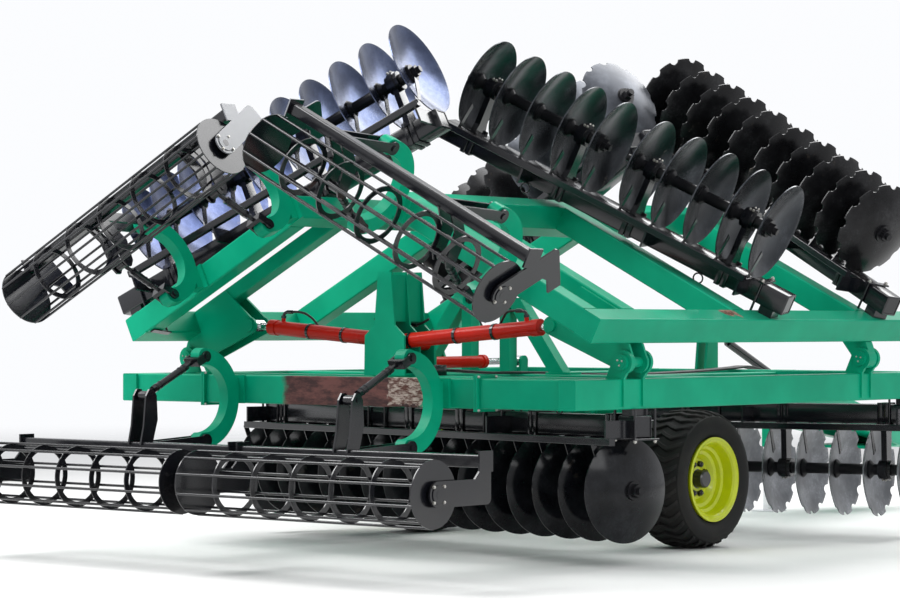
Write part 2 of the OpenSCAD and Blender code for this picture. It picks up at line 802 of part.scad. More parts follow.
module tyre(side) color(tyre_black) at_frame() translate([side * wheel_x, wheel_y, wheel_z])
    rotate([0, 90, 0]) rotate_extrude($fn = 120) {
    half = tyre_w / 2;
    out = tyre_d / 2;
    difference() {
        union() {
            translate([rim_r - 8, -half + 42]) square([out - 80 - rim_r, tyre_w - 84]);
            for (k = [-1, 1]) {
                translate([out - 95, k * (half - 80)]) circle(r = 80);
                translate([rim_r + 66, k * (half - 72)]) circle(r = 70);
                translate([rim_r + 100, k * (half - 30) - 30]) square([out - 190 - rim_r, 60]);
            }
            translate([out - 120, -half + 95]) square([105, tyre_w - 190]);
            translate([out - 60, -half + 118]) square([60, tyre_w - 236]);
        }
        translate([0, -half - 5]) square([rim_r, tyre_w + 10]);
    }
}

// Half section of a rim: the dished disc with its hub cap, and the barrel between the two flanges
module rim(side) color(rim_yellow) at_frame() translate([side * wheel_x, wheel_y, wheel_z])
    rotate([0, 90 * side, 0]) difference() {
    half = tyre_w / 2;
    rotate_extrude($fn = 120) polygon([
        [0, -60], [85, -60], [85, 20], [150, 24], [190, 60], [222, 60], [236, 84], [236, 96], [262, 102],
            [278, 88],
        [278, -half + 32], [268, -half + 18], [rim_r - 2, -half + 6], [rim_r + 16, -half + 8],
            [rim_r + 16, -half + 22], [rim_r, -half + 26],
        [rim_r, half - 26], [rim_r + 16, half - 22], [rim_r + 16, half - 8], [rim_r - 2, half - 6],
            [268, half - 18], [258, half - 32],
        [240, 120], [218, 112], [206, 84], [180, 78], [150, 44], [90, 40], [90, 58], [64, 62], [64, 128],
            [54, 138], [0, 138]
    ]);
    translate([0, 0, -70]) cylinder(r = axle_r + pin_fit, h = 130);
}

// Drawbar

// Where the middle and the outer face of a drawbar tube lie at a station
function draw_x(y) = rail_x - (rail_x - draw_apex_x) * (y - draw_y0) / (apex_y - draw_y0);
function draw_face(y) = draw_x(y) + draw_w / 2 / cos(draw_yaw);

module draw_tube(side) {
    translate([side * rail_x, draw_y0, draw_z0]) rotate([0, 0, side * draw_yaw]) rotate([draw_pitch, 0, 0])
        rotate([-90, 0, 0]) linear_extrude(draw_len) tube_face(draw_w, draw_h);
}

module drawbar() color(paint_green) at_frame() {
    for (s = [-1, 1]) {
        draw_tube(s);
        translate([s * rail_x - 95, cross_y[3] + cross_beam_w / 2, frame_low]) cube([190, 60, beam_h]);
        plate_x(s * link_half, link_t) difference() {
            polygon([[mast_y - 90, frame_top], [mast_y + 80, frame_top], [mast_y + 80, mast_top - 40],
                [mast_y + 40, mast_top],
                [mast_y - 10, mast_top], [mast_y - 60, mast_top - 140]]);
            translate(link_mast) circle(r = link_pin_r + pin_fit);
        }
        plate_x(s * link_half, link_t) translate(link_foot) difference() {
            polygon([[-110, -105], [90, -145], [50, 15], [-10, 45], [-50, 25]]);
            circle(r = link_pin_r + pin_fit);
        }
    }
    beam_x(-300, 300, link_cross_y, link_cross_z, 90, 90, 8);
    for (z = [eye_z - 44, eye_z + 140]) translate([0, 0, z]) linear_extrude(24)
        polygon([[-330, apex_y - 900], [330, apex_y - 900], [150, draw_end - 30], [150, draw_end],
            [-150, draw_end], [-150, draw_end - 30]]);
    translate([-150, draw_end - 24, eye_z - 44]) cube([300, 24, 208]);
}

// The link that keeps the drawbar level with the frame, pinned to the mast and to the drawbar's lugs
module level_link() {
    for (end = [link_mast, link_foot]) pin_x(0, end[0], end[1], link_pin_r, 130);
    rod_between(0, link_mast[0], link_mast[1], link_foot[0], link_foot[1], 20);
    rod_between(0, link_mast[0], link_mast[1], link_foot[0], link_foot[1], 34, 300, 300);
}

module hitch_eye() color(gloss_black) at_frame() {
    difference() {
        union() {
            translate([0, eye_y, eye_z - 30]) cylinder(r = eye_r, h = 60);
            translate([-45, draw_end + 20, eye_z - 30]) cube([90, eye_y - draw_end - 40, 60]);
            translate([-100, draw_end, eye_z - 30]) cube([200, 30, 180]);
            plate_x(0, 30) polygon([[draw_end + 20, eye_z + 20], [eye_y - 100, eye_z + 20],
                [draw_end + 120, eye_z + 120], [draw_end + 20, eye_z + 140]]);
        }
        translate([0, eye_y, eye_z - 40]) cylinder(r = eye_bore_r, h = 80);
    }
    level_link();
}

module jack_sleeve() color(paint_green) at_frame() {
    difference() {
        translate([jack_x, jack_y, 560]) linear_extrude(560) tube_face(jack_sleeve, jack_sleeve, 8);
        translate([jack_x, jack_y, 550]) linear_extrude(540) square(jack_leg_w + 2 * pin_fit, center = true);
    }
    translate([0, 0, 735]) linear_extrude(70) polygon([[jack_x + jack_sleeve / 2 - 1,
        jack_y - jack_mount_half],
        [-draw_face(jack_y - jack_mount_half) - seat, jack_y - jack_mount_half],
        [-draw_face(jack_y + jack_mount_half) - seat, jack_y + jack_mount_half],
            [jack_x + jack_sleeve / 2 - 1, jack_y + jack_mount_half]]);
    translate([jack_x, jack_y, 1120]) cylinder(r = 18, h = 60);
    translate([jack_x - 8, jack_y - 160, 1150]) cube([16, 170, 16]);
    translate([jack_x, jack_y - 150, 1160]) cylinder(r = 14, h = 110);
}

module jack_leg() color(bright) at_frame() {
    translate([jack_x, jack_y, 12]) linear_extrude(640) square(jack_leg_w, center = true);
    translate([jack_x - 110, jack_y - 110, 0]) cube([220, 220, 12]);
}

// Wings, drawn as they lie with the wing down

module wing_rails(side) color(paint_green) folded(side) {
    for (rail = [[wing_rail_in, wing_rail_w], [wing_rail_out, wing_rail_out_w]]) {
        hollow_y(side * rail[0], wing_rail_y0, wing_rail_y1, frame_z, rail[1], wing_h);
        for (y = [wing_rail_y0, wing_rail_y1 - wall]) tube_cap(side * rail[0], y, y + wall, frame_z,
            rail[1], wing_h);
    }
}

module wing_beams(side) color(paint_green) folded(side) {
    a = wing_rail_in + wing_rail_w / 2;
    b = wing_rail_out - wing_rail_out_w / 2;
    for (y = [wing_rear_y, wing_mid_y, wing_front_y])
        hollow_x(side > 0 ? a : -b, side > 0 ? b : -a, y, frame_z, wing_cross_w, wing_h);
    beam_x(side > 0 ? a : -b, side > 0 ? b : -a, barrel_y[side > 0 ? 0 : 1], wing_low + crank_beam_h / 2,
        crank_gap, crank_beam_h);
}

// The wing's plates round the hinge; the rear pair is also the fold cylinder's crank
module wing_cranks(side) color(paint_green) folded(side) {
    y = barrel_y[side > 0 ? 0 : 1];
    for (k = [-1, 1]) plate_y(y + k * (crank_gap + crank_t) / 2, crank_t) difference() {
        union() {
            translate([side * frame_x, hinge_z]) circle(r = 72);
            translate([side * crank_x, crank_z]) circle(r = 62);
            polygon([[side * (frame_x - 20), hinge_z + 69], [side * crank_x, crank_z + 62],
                [side * (crank_x + 62), crank_z], [side * (crank_x - 110), wing_low + 20],
                [side * (wing_rail_in + wing_rail_w / 2), wing_low + 20],
                    [side * (wing_rail_in + wing_rail_w / 2), wing_top], [side * (frame_x + 30),
                    wing_top], [side * (frame_x - 62), hinge_z - 34]]);
        }
        translate([side * frame_x, hinge_z]) circle(r = hinge_pin_r + pin_fit);
    }
    for (k = [-1, 1]) pin_y(side * crank_x, y + k * (crank_gap / 2 + crank_t + 9), crank_z, 44, 18);
    plate_y(hinge_front_y, 90) difference() {
        union() {
            translate([side * frame_x, hinge_z]) circle(r = 72);
            polygon([[side * (frame_x - 10), hinge_z + 71], [side * (frame_x + 330), wing_top + 30],
                [side * (frame_x + 360), wing_top], [side * (frame_x + 30), wing_top],
                [side * (frame_x - 62), hinge_z - 34]]);
        }
        translate([side * frame_x, hinge_z]) circle(r = hinge_pin_r + pin_fit);
    }
}

module wing_gang_beams(side) color(gloss_black) folded(side) {
    for (row = rows) if (row[row_side] == side) on_row(row) {
        row_beam(row);
        clamp_at(row, side * wing_rail_in, wing_low);
        clamp_at(row, side * wing_rail_out, wing_low);
    }
}

module wing_standards(side) color(gloss_black) folded(side) {
    for (row = rows) if (row[row_side] == side) on_row(row) {
        row_standards(row);
        row_scrapers(row);
    }
}

module wing_gang(i, outer) color(disc_grey) folded(rows[i][row_side]) on_row(rows[i])
    gang(rows[i], outer * rows[i][row_side]);

module wing_roller_arms(side) color(paint_green) folded(side) {
    for (x = wing_arm_x) {
        roller_arm(side * x, wing_roller);
        translate([side * x - 80, wing_arm_back, wing_low]) cube([160, wing_rail_y0 - wing_arm_back, wing_h]);
    }
}

module wing_turnbuckles(side) color(gloss_black) folded(side) {
    for (x = wing_arm_x) arm_gear(side * x, wing_roller);
}

module wing_roller_frame(side) color(gloss_black) folded(side) mirror([side > 0 ? 0 : 1, 0, 0])
    roller_frame(wing_roller, wing_arm_x);

module wing_rollers(side) color(gloss_black) folded(side) mirror([side > 0 ? 0 : 1, 0, 0])
    roller(wing_roller);

module at_cylinder(side) {
    at_frame() mirror([side > 0 ? 0 : 1, 0, 0])
        translate([-base_x, barrel_y[side > 0 ? 0 : 1], base_z]) rotate([0, -cyl_tilt, 0]) children();
}

module fold_barrel(side) color(rust_red) at_cylinder(side) difference() {
    union() {
        pin_y(0, 0, 0, 50, 120);
        translate([30, 0, 0]) rotate([0, 90, 0]) cylinder(r = barrel_r, h = gland_at - 30);
        translate([gland_at - 70, 0, 0]) rotate([0, 90, 0]) cylinder(r = barrel_r + 6, h = 70);
        translate([120, 0, barrel_r - 6]) cylinder(r = 16, h = 30);
        translate([gland_at - 120, 0, barrel_r - 6]) cylinder(r = 16, h = 30);
    }
    pin_y(0, 0, 0, pin_r + pin_fit, 130);
    translate([90, 0, 0]) rotate([0, 90, 0]) cylinder(r = 40, h = gland_at - 160);
    translate([90, 0, 0]) rotate([0, 90, 0]) cylinder(r = rod_r + pin_fit, h = gland_at);
}

module fold_rod(side) color(bright) at_cylinder(side) {
    translate([110, 0, 0]) rotate([0, 90, 0]) cylinder(r = rod_r, h = cyl_len - 110 - 20);
    pin_y(cyl_len, 0, 0, eye_or, eye_w - 20);
    pin_y(cyl_len, 0, 0, pin_r, eye_w);
}

side_beams();
cross_beams();
inner_rails();
hinge_brackets();
cylinder_tower();
frame_posts();
centre_gang_beams();
centre_standards();
centre_roller_arms();
centre_roller_frames();
centre_turnbuckles();
drawbar();
hitch_eye();
jack_sleeve();
jack_leg();
rockshaft();
lift_barrel();
lift_rod();
tyre(1);  // tyre_right
tyre(-1);  // tyre_left
rim(1);  // rim_right
rim(-1);  // rim_left
centre_rollers(1);  // centre_roller_right
centre_rollers(-1);  // centre_roller_left
centre_gang(0, 1);  // gang_front_right
centre_gang(0, -1);  // gang_front_left
centre_gang(1, 1);  // gang_rear_right
centre_gang(1, -1);  // gang_rear_left
wing_rails(1);  // wing_rails_right
wing_beams(1);  // wing_beams_right
wing_cranks(1);  // wing_cranks_right
wing_gang_beams(1);  // wing_gang_beams_right
wing_standards(1);  // wing_standards_right
wing_roller_arms(1);  // wing_roller_arms_right
wing_roller_frame(1);  // wing_roller_frame_right
wing_turnbuckles(1);  // wing_turnbuckles_right
wing_rollers(1);  // wing_roller_right
wing_gang(2, -1);  // wing_front_inner_right
wing_gang(2, 1);  // wing_front_outer_right
wing_gang(3, -1);  // wing_rear_inner_right
wing_gang(3, 1);  // wing_rear_outer_right
fold_barrel(1);  // fold_barrel_right
fold_rod(1);  // fold_rod_right
wing_rails(-1);  // wing_rails_left
wing_beams(-1);  // wing_beams_left
wing_cranks(-1);  // wing_cranks_left
wing_gang_beams(-1);  // wing_gang_beams_left
wing_standards(-1);  // wing_standards_left
wing_roller_arms(-1);  // wing_roller_arms_left
wing_roller_frame(-1);  // wing_roller_frame_left
wing_turnbuckles(-1);  // wing_turnbuckles_left
wing_rollers(-1);  // wing_roller_left
wing_gang(4, -1);  // wing_front_inner_left
wing_gang(4, 1);  // wing_front_outer_left
wing_gang(5, -1);  // wing_rear_inner_left
wing_gang(5, 1);  // wing_rear_outer_left
fold_barrel(-1);  // fold_barrel_left
fold_rod(-1);  // fold_rod_left
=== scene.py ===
"""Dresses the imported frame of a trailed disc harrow, folded for the road, and sets the studio round it.

The frame gives every solid its place. This script gives each of them its finish and adds the pieces that
are too fine for the solids: tyre treads, wheel nuts, bolts, straps, flanges, a valve block and hoses.
Lengths are in metres. X is the machine's right, Y its forward direction, and the ground is Z = 0.
"""

from __future__ import annotations

import json
import logging
import math
from dataclasses import dataclass, field
from enum import Enum
from typing import Callable, Iterable, Sequence

import bmesh
import bpy
from mathutils import Matrix, Vector

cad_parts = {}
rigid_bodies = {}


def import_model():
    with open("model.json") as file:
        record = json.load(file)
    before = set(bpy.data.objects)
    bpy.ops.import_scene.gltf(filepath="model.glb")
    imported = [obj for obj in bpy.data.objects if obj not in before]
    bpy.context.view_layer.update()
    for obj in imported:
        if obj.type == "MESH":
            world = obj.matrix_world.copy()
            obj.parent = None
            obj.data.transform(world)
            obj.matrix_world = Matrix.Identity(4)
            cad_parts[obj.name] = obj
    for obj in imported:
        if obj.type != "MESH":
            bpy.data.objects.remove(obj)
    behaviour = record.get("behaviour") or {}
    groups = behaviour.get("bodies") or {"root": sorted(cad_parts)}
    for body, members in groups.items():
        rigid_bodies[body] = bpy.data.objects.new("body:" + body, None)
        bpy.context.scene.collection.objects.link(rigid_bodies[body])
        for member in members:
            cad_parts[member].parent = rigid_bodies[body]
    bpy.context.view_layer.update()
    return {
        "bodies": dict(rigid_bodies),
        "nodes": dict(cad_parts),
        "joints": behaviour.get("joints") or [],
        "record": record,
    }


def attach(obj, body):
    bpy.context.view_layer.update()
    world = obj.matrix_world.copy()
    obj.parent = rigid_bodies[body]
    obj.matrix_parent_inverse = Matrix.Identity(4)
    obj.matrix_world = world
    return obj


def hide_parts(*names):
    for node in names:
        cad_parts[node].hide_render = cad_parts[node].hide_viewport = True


LOG = logging.getLogger("harrow")
Colour = tuple[float, float, float]
Point = tuple[float, float, float]
Chooser = Callable[[bmesh.types.BMesh], Iterable]
SIDES = {1: "right", -1: "left"}


def linear(red: int, green: int, blue: int) -> Colour:
    """Returns the linear colour of a display colour given from 0 to 255."""

    def channel(value: int) -> float:
        """Returns one channel in linear light."""
        share = value / 255
        return share / 12.92 if share <= 0.04045 else ((share + 0.055) / 1.055) ** 2.4

    return channel(red), channel(green), channel(blue)


# Places of the frame's own parts


@dataclass(frozen=True)
class Row:
    """One row of gangs: two gangs in line under one beam.

    Attributes:
        side: 1 for the right wing, -1 for the left one, 0 for the centre.
        x: middle of the row across the machine.
        y: station of that middle.
        turn: angle of the row to the cross beams, in degrees.
        discs: discs in each gang.
        front: True for the front row of its frame.
        clamps: places across the machine where the beam is clamped to the frame.
    """

    side: int
    x: float
    y: float
    turn: float
    discs: int
    front: bool
    clamps: tuple[float, ...]

    @property
    def matrix(self) -> Matrix:
        """The place of the row, with its beam along local X."""
        on_frame = Harrow.folded(self.side) if self.side else Harrow.machine()
        turn = Matrix.Rotation(math.radians(self.turn), 4, "Z")
        return on_frame @ Matrix.Translation((self.x, self.y, 0)) @ turn

    @property
    def ends(self) -> tuple[float, float]:
        """Where the row's beam ends, along it."""
        return Harrow.beam_ends[self.side]

    @property
    def body(self) -> str:
        """The body that carries the row's beam."""
        return f"wing_{SIDES[self.side]}" if self.side else "chassis"

    @property
    def name(self) -> str:
        """The row's name, such as rear_left."""
        place = "front" if self.front else "rear"
        return f"{place}_{SIDES[self.side]}" if self.side else f"{place}_centre"

    def along(self, x: float) -> float:
        """Returns how far along the beam a place across the machine lies."""
        return (x - self.x) / math.cos(math.radians(self.turn))

    def bearings(self) -> list[float]:
        """Returns where the bearings sit along the beam."""
        steps = (0.5, 3.5, 6.5) if self.discs == 8 else (0.5, 3.5)
        return [k * (Harrow.gang_gap + step * Harrow.pitch) for k in (-1, 1) for step in steps]


class Harrow:
    """Driving sizes and frames of reference, as in the part's source."""

    shift = -3.09
    frame_x = 2.1
    hinge_z = 1.37
    fold = 153.0
    pitch = 0.27
    gang_gap = 0.165
    gang_z = 0.515
    beam_z = 0.94
    beam = 0.15
    beam_ends = {0: (-2.165, 2.165), 1: (-1.62, 1.355), -1: (-1.355, 1.62)}
    wheel = Vector((1.28, 2.45, 0.5))
    frame_low = 1.06
    inner_low = 1.075
    wing_low = 1.07
    wing_top = 1.25
    cylinder_y = {1: 0.62, -1: 0.78}
    front_hinge_y = 3.52
    lug_half = 0.145
    front_half = 0.100

    @staticmethod
    def machine() -> Matrix:
        """Returns the matrix from stations to the row frame."""
        return Matrix.Translation((0, Harrow.shift, 0))

    @staticmethod
    def folded(side: int) -> Matrix:
        """Gives the matrix from a wing that lies down to the folded wing.

        Args:
            side: 1 for the right wing, -1 for the left one.

        Returns:
            The matrix.
        """
        hinge = Matrix.Translation((side * Harrow.frame_x, 0, Harrow.hinge_z))
        turn = Matrix.Rotation(math.radians(-side * Harrow.fold), 4, "Y")
        return Harrow.machine() @ hinge @ turn @ hinge.inverted()


ROWS = (
    Row(0, 0.0, 3.78, 12.0, 8, True, (-2.03, -0.67, 0.67, 2.03)),
    Row(0, 0.0, 1.17, -12.0, 8, False, (-2.03, -0.67, 0.67, 2.03)),
    Row(1, 3.68, 3.90, 12.0, 5, True, (2.21,)),
    Row(1, 3.68, 1.85, -12.0, 5, False, (2.21,)),
    Row(-1, -3.68, 3.64, 12.0, 5, True, (-2.21,)),
    Row(-1, -3.68, 0.55, -12.0, 5, False, (-2.21,)),
)


# Shader graphs


class Sock:
    """A node's output in a Python expression."""

    def __init__(self, graph: Graph, socket: bpy.types.NodeSocket) -> None:
        """Keeps the graph and the output socket."""
        self.graph = graph
        self.socket = socket

    def _maths(self, operation: str, first: Value, second: Value) -> Sock:
        """Returns a Math node's result."""
        return self.graph.take("ShaderNodeMath", {"operation": operation}, {0: first, 1: second})

    def __add__(self, other: Value) -> Sock:
        """Adds."""
        return self._maths("ADD", self, other)

    __radd__ = __add__

    def __mul__(self, other: Value) -> Sock:
        """Multiplies."""
        return self._maths("MULTIPLY", self, other)

    __rmul__ = __mul__

    def __sub__(self, other: Value) -> Sock:
        """Subtracts."""
        return self._maths("SUBTRACT", self, other)

    def __rsub__(self, other: Value) -> Sock:
        """Subtracts from a number."""
        return self._maths("SUBTRACT", other, self)

    def least(self, other: Value) -> Sock:
        """Returns the smaller of two values."""
        return self._maths("MINIMUM", self, other)

    def most(self, other: Value) -> Sock:
        """Returns the larger of two values."""
        return self._maths("MAXIMUM", self, other)

    def step(self, low: float, high: float) -> Sock:
        """Returns 0 below low, 1 above high and a soft passage between them."""
        inputs = {"Value": self, "From Min": low, "From Max": high}
        return self.graph.take("ShaderNodeMapRange", {"interpolation_type": "SMOOTHSTEP"}, inputs)


Value = Sock | float


class Graph:
    """One material and its nodes."""

    def __init__(self, name: str) -> None:
        """Makes an empty material of that name."""
        self.material = bpy.data.materials.new(name)
        self.material.use_nodes = True
        self.material.node_tree.nodes.clear()

    def node(self, kind: str, settings: dict | None = None, inputs: dict | None = None) -> bpy.types.Node:
        """Adds a node.

        Args:
            kind: the node's type.
            settings: its own properties, set before the sockets.
            inputs: values or outputs for its sockets, by name or place.

        Returns:
            The node.
        """
        tree = self.material.node_tree
        made = tree.nodes.new(kind)
        for key, value in (settings or {}).items():
            setattr(made, key, value)
        for key, value in (inputs or {}).items():
            if isinstance(value, Sock):
                tree.links.new(value.socket, made.inputs[key])
            else:
                made.inputs[key].default_value = value
        return made

    def take(
        self, kind: str, settings: dict | None = None, inputs: dict | None = None, output: str | int = 0
    ) -> Sock:
        """Adds a node as node() does and returns one of its outputs."""
        return Sock(self, self.node(kind, settings, inputs).outputs[output])

    def place(self, scale: Point = (1, 1, 1)) -> Sock:
        """Returns the object coordinates, stretched by scale."""
        there = self.take("ShaderNodeTexCoord", output="Object")
        return self.vector("MULTIPLY", there, scale)

    def vector(
        self, operation: str, first: Sock, second: Sock | Point = (0, 0, 0), output: str | int = 0
    ) -> Sock:
        """Returns what a Vector Math node makes of two vectors."""
        return self.take("ShaderNodeVectorMath", {"operation": operation}, {0: first, 1: second}, output)

    def noise(self, where: Sock, scale: float, detail: float = 3.0, rough: float = 0.5) -> Sock:
        """Returns a noise value from 0 to 1."""
        inputs = {"Vector": where, "Scale": scale, "Detail": detail, "Roughness": rough}
        return self.take("ShaderNodeTexNoise", None, inputs, "Fac")

    def mix(self, share: Value, first: Sock | Colour, second: Sock | Colour) -> Sock:
        """Returns a mix of two colours."""
        pair = [c if isinstance(c, Sock) else (*c, 1.0) for c in (first, second)]
        return self.take("ShaderNodeMix", {"data_type": "RGBA"}, {0: share, 6: pair[0], 7: pair[1]}, 2)

    def upward(self) -> Sock:
        """Returns how far a face looks up, from -1 to 1, in the piece's own frame."""
        normal = self.take("ShaderNodeTexCoord", output="Normal")
        return self.take("ShaderNodeSeparateXYZ", None, {0: normal}, "Z")

    def height(self) -> Sock:
        """Returns the height above the ground at rest."""
        return self.take("ShaderNodeSeparateXYZ", None, {0: self.place()}, "Z")

    def near(self, centre: Point, reach: Point, ragged: float, fine: float) -> Sock:
        """Returns a ragged spot, 1 inside and 0 outside.

        Args:
            centre: the middle of the spot.
            reach: half of its size along each axis.
            ragged: how much its edge is torn.
            fine: scale of the tears.

        Returns:
            The spot.
        """
        away = self.vector("DIVIDE", self.vector("SUBTRACT", self.place(), centre), reach)
        away = self.vector("ABSOLUTE", away)
        parts = [self.take("ShaderNodeSeparateXYZ", None, {0: away}, axis) for axis in "XYZ"]
        away = parts[0].most(parts[1]).most(parts[2])
        torn = self.noise(self.place(), fine, 5.0, 0.65)
        return (1 - away + (torn - 0.5) * ragged * 2).step(0.0, 0.12)

    def bump(self, height: Value, strength: float, distance: float) -> Sock:
        """Returns a normal bent by a height."""
        inputs = {"Height": height, "Strength": strength, "Distance": distance}
        return self.take("ShaderNodeBump", None, inputs)

    def finish(self, changing: dict, constant: dict) -> bpy.types.Material:
        """Ends the graph in a Principled shader.

        Args:
            changing: sockets that vary over the surface.
            constant: sockets with one value all over.

        Returns:
            The finished material.
        """
        shader = self.node("ShaderNodeBsdfPrincipled", None, {**constant, **changing})
        self.node("ShaderNodeOutputMaterial", None, {"Surface": Sock(self, shader.outputs[0])})
        return self.material


# Finishes


@dataclass(frozen=True)
class Patch:
    """A place where a finish gives way to another colour, such as rust.

    Attributes:
        centre: its middle, at a station.
        reach: half of its size along each axis.
        dark: one colour in it.
        light: the other one.
        ragged: how much its edge is torn.
        fine: scale of the tears.
    """

    centre: Point
    reach: Point
    dark: Colour = linear(70, 34, 26)
    light: Colour = linear(142, 92, 76)
    ragged: float = 0.5
    fine: float = 9.0


@dataclass(frozen=True)
class Paint:
    """Gloss paint over steel, with road dust on what faces up, ragged rust where it has come off, and a
    painted highlight past a plane where one is given.

    Attributes:
        name: the material's name.
        colour: the paint in linear light.
        roughness: roughness where it is clean.
        coat: weight of the clear gloss.
        dust: how thick the dust may be, from 0 to 1.
        scuffs: how much of the paint is rubbed.
        gloss: strength of the mirror-like part.
        patches: places with another colour.
        beyond: a point, a direction and the colour of a painted highlight for all that lies farther that way.
    """

    name: str
    colour: Colour
    roughness: float = 0.3
    coat: float = 0.35
    dust: float = 0.25
    scuffs: float = 0.0
    gloss: float = 0.5
    patches: tuple[Patch, ...] = ()
    beyond: tuple[Point, Point, Colour] | None = None
    dust_colour: Colour = linear(158, 146, 124)

    def make(self) -> bpy.types.Material:
        """Returns the material."""
        graph = Graph(self.name)
        where = graph.place()
        broad = graph.noise(where, 1.1, 4.0, 0.55)
        grain = graph.noise(where, 38.0, 4.0, 0.6)
        deep = tuple(c * 0.82 for c in self.colour)
        pale = tuple(min(1.0, c * 1.12 + 0.004) for c in self.colour)
        colour = graph.mix(broad.step(0.3, 0.7), deep, pale)
        settled = graph.upward().step(0.35, 0.95) * graph.noise(where, 3.1, 5.0, 0.6).step(0.38, 0.72)
        low = (1.15 - graph.height()).step(0.0, 1.1) * graph.noise(where, 2.3, 6.0, 0.7).step(0.35, 0.8)
        dust = (settled + low * 0.7).least(1.0) * self.dust * (0.6 + 0.4 * grain)
        colour = graph.mix(dust, colour, self.dust_colour)
        rough = self.roughness + 0.08 * (broad - 0.5) + dust * 0.5
        relief = grain * 0.12
        if self.scuffs:
            streak = graph.noise(graph.place((3.0, 3.0, 40.0)), 2.0, 6.0, 0.7)
            rubbed = streak.step(0.66, 0.74) * self.scuffs
            colour = graph.mix(rubbed, colour, (0.16, 0.16, 0.17))
            rough = rough + rubbed * 0.2
        for patch in self.patches:
            centre = tuple(Harrow.machine() @ Vector(patch.centre))
            spot = graph.near(centre, patch.reach, patch.ragged, patch.fine)
            flaked = graph.noise(graph.place((0.5, 1.0, 1.6)), patch.fine, 5.0, 0.7).step(0.40, 0.62)
            colour = graph.mix(spot, colour, graph.mix(flaked, patch.dark, patch.light))
            rough = rough + spot * 0.3
            relief = relief + spot * grain
        # Painted highlight: all that lies past the plane through the point is painted a pale grey, clouded
        # lighter and darker.
        if self.beyond:
            point, way, other = self.beyond
            start = tuple(Harrow.machine() @ Vector(point))
            offset = graph.vector("SUBTRACT", where, start)
            along = graph.vector("DOT_PRODUCT", offset, way, "Value")
            painted_highlight = graph.mix(broad.step(0.3, 0.7), tuple(c * 0.8 for c in other), other)
            colour = graph.mix(along.step(0.0, 0.001), colour, painted_highlight)
        normal = graph.bump(relief, 0.25, 0.002)
        return graph.finish(
            {"Base Color": colour, "Roughness": rough.least(1.0), "Normal": normal},
            {"Coat Weight": self.coat, "Coat Roughness": 0.08, "Specular IOR Level": self.gloss},
        )


@dataclass(frozen=True)
class GangSteel:
    """Discs on their shaft: hardened steel outside a radius with broad lighter clouds as a painted sky
    reflection, black paint on spools and bearings inside it.

    Attributes:
        name: the material's name.
        centre: a point on the shaft's line.
        axis: the direction of that line.
        steel: colour of the disc; on the left wing's rear discs its blue tint is a painted sky reflection.
        bare: share of bare metal, from 0 to 1.
        metallic: how metallic the disc is.
        roughness: its mean roughness.
        hub: radius up to which the shaft's parts are painted.
    """

    name: str
    centre: Vector
    axis: Vector
    steel: Colour = (0.030, 0.036, 0.050)
    bare: float = 0.35
    metallic: float = 0.55
    roughness: float = 0.3
    hub: float = 0.074
    shaft: Colour = (0.012, 0.012, 0.014)
    earth: Colour = linear(122, 108, 90)

    def make(self) -> bpy.types.Material:
        """Returns the material."""
        graph = Graph(self.name)
        where = graph.place()
        offset = graph.vector("SUBTRACT", where, tuple(self.centre))
        across = graph.vector("CROSS_PRODUCT", offset, tuple(self.axis))
        radius = graph.vector("LENGTH", across, output="Value")
        disc = radius.step(self.hub, self.hub + 0.002)
        cloud = graph.noise(where, 4.0, 5.0, 0.6)
        fine = graph.noise(where, 60.0, 3.0, 0.6)
        wave = radius * 900.0 + cloud * 20.0
        ring = graph.take("ShaderNodeMath", {"operation": "SINE"}, {0: wave}) * 0.5 + 0.5
        # Painted reflection: broad clouds mix the disc colour with a lighter copy of it, as sky sheen on the
        # steel.
        light = tuple(c * 1.9 + 0.006 for c in self.steel)
        metal = graph.mix(cloud.step(0.35, 0.7), self.steel, light)
        scale_off = (cloud * 0.6 + fine * 0.4).step(0.52, 0.66) * self.bare
        metal = graph.mix(scale_off, metal, (0.33, 0.34, 0.36))
        edge = radius.step(0.325, 0.352) * fine.step(0.35, 0.6)
        metal = graph.mix(edge * 0.6 * self.bare, metal, (0.42, 0.42, 0.43))
        soil = graph.noise(where, 7.0, 6.0, 0.7).step(0.6, 0.82) * radius.step(0.16, 0.34) * 0.35
        metal = graph.mix(soil, metal, self.earth)
        colour = graph.mix(disc, self.shaft, metal)
        rough = self.roughness + 0.14 * (cloud - 0.5) + soil * 0.6 + (1 - disc) * 0.04 + ring * 0.03
        normal = graph.bump(ring * 0.25 * disc + fine * 0.4, 0.12, 0.0012)
        changing = {
            "Base Color": colour,
            "Roughness": rough,
            "Metallic": disc * (self.metallic - soil * 0.5).most(0.0),
            "Normal": normal,
        }
        return graph.finish(changing, {"Specular IOR Level": 0.22})


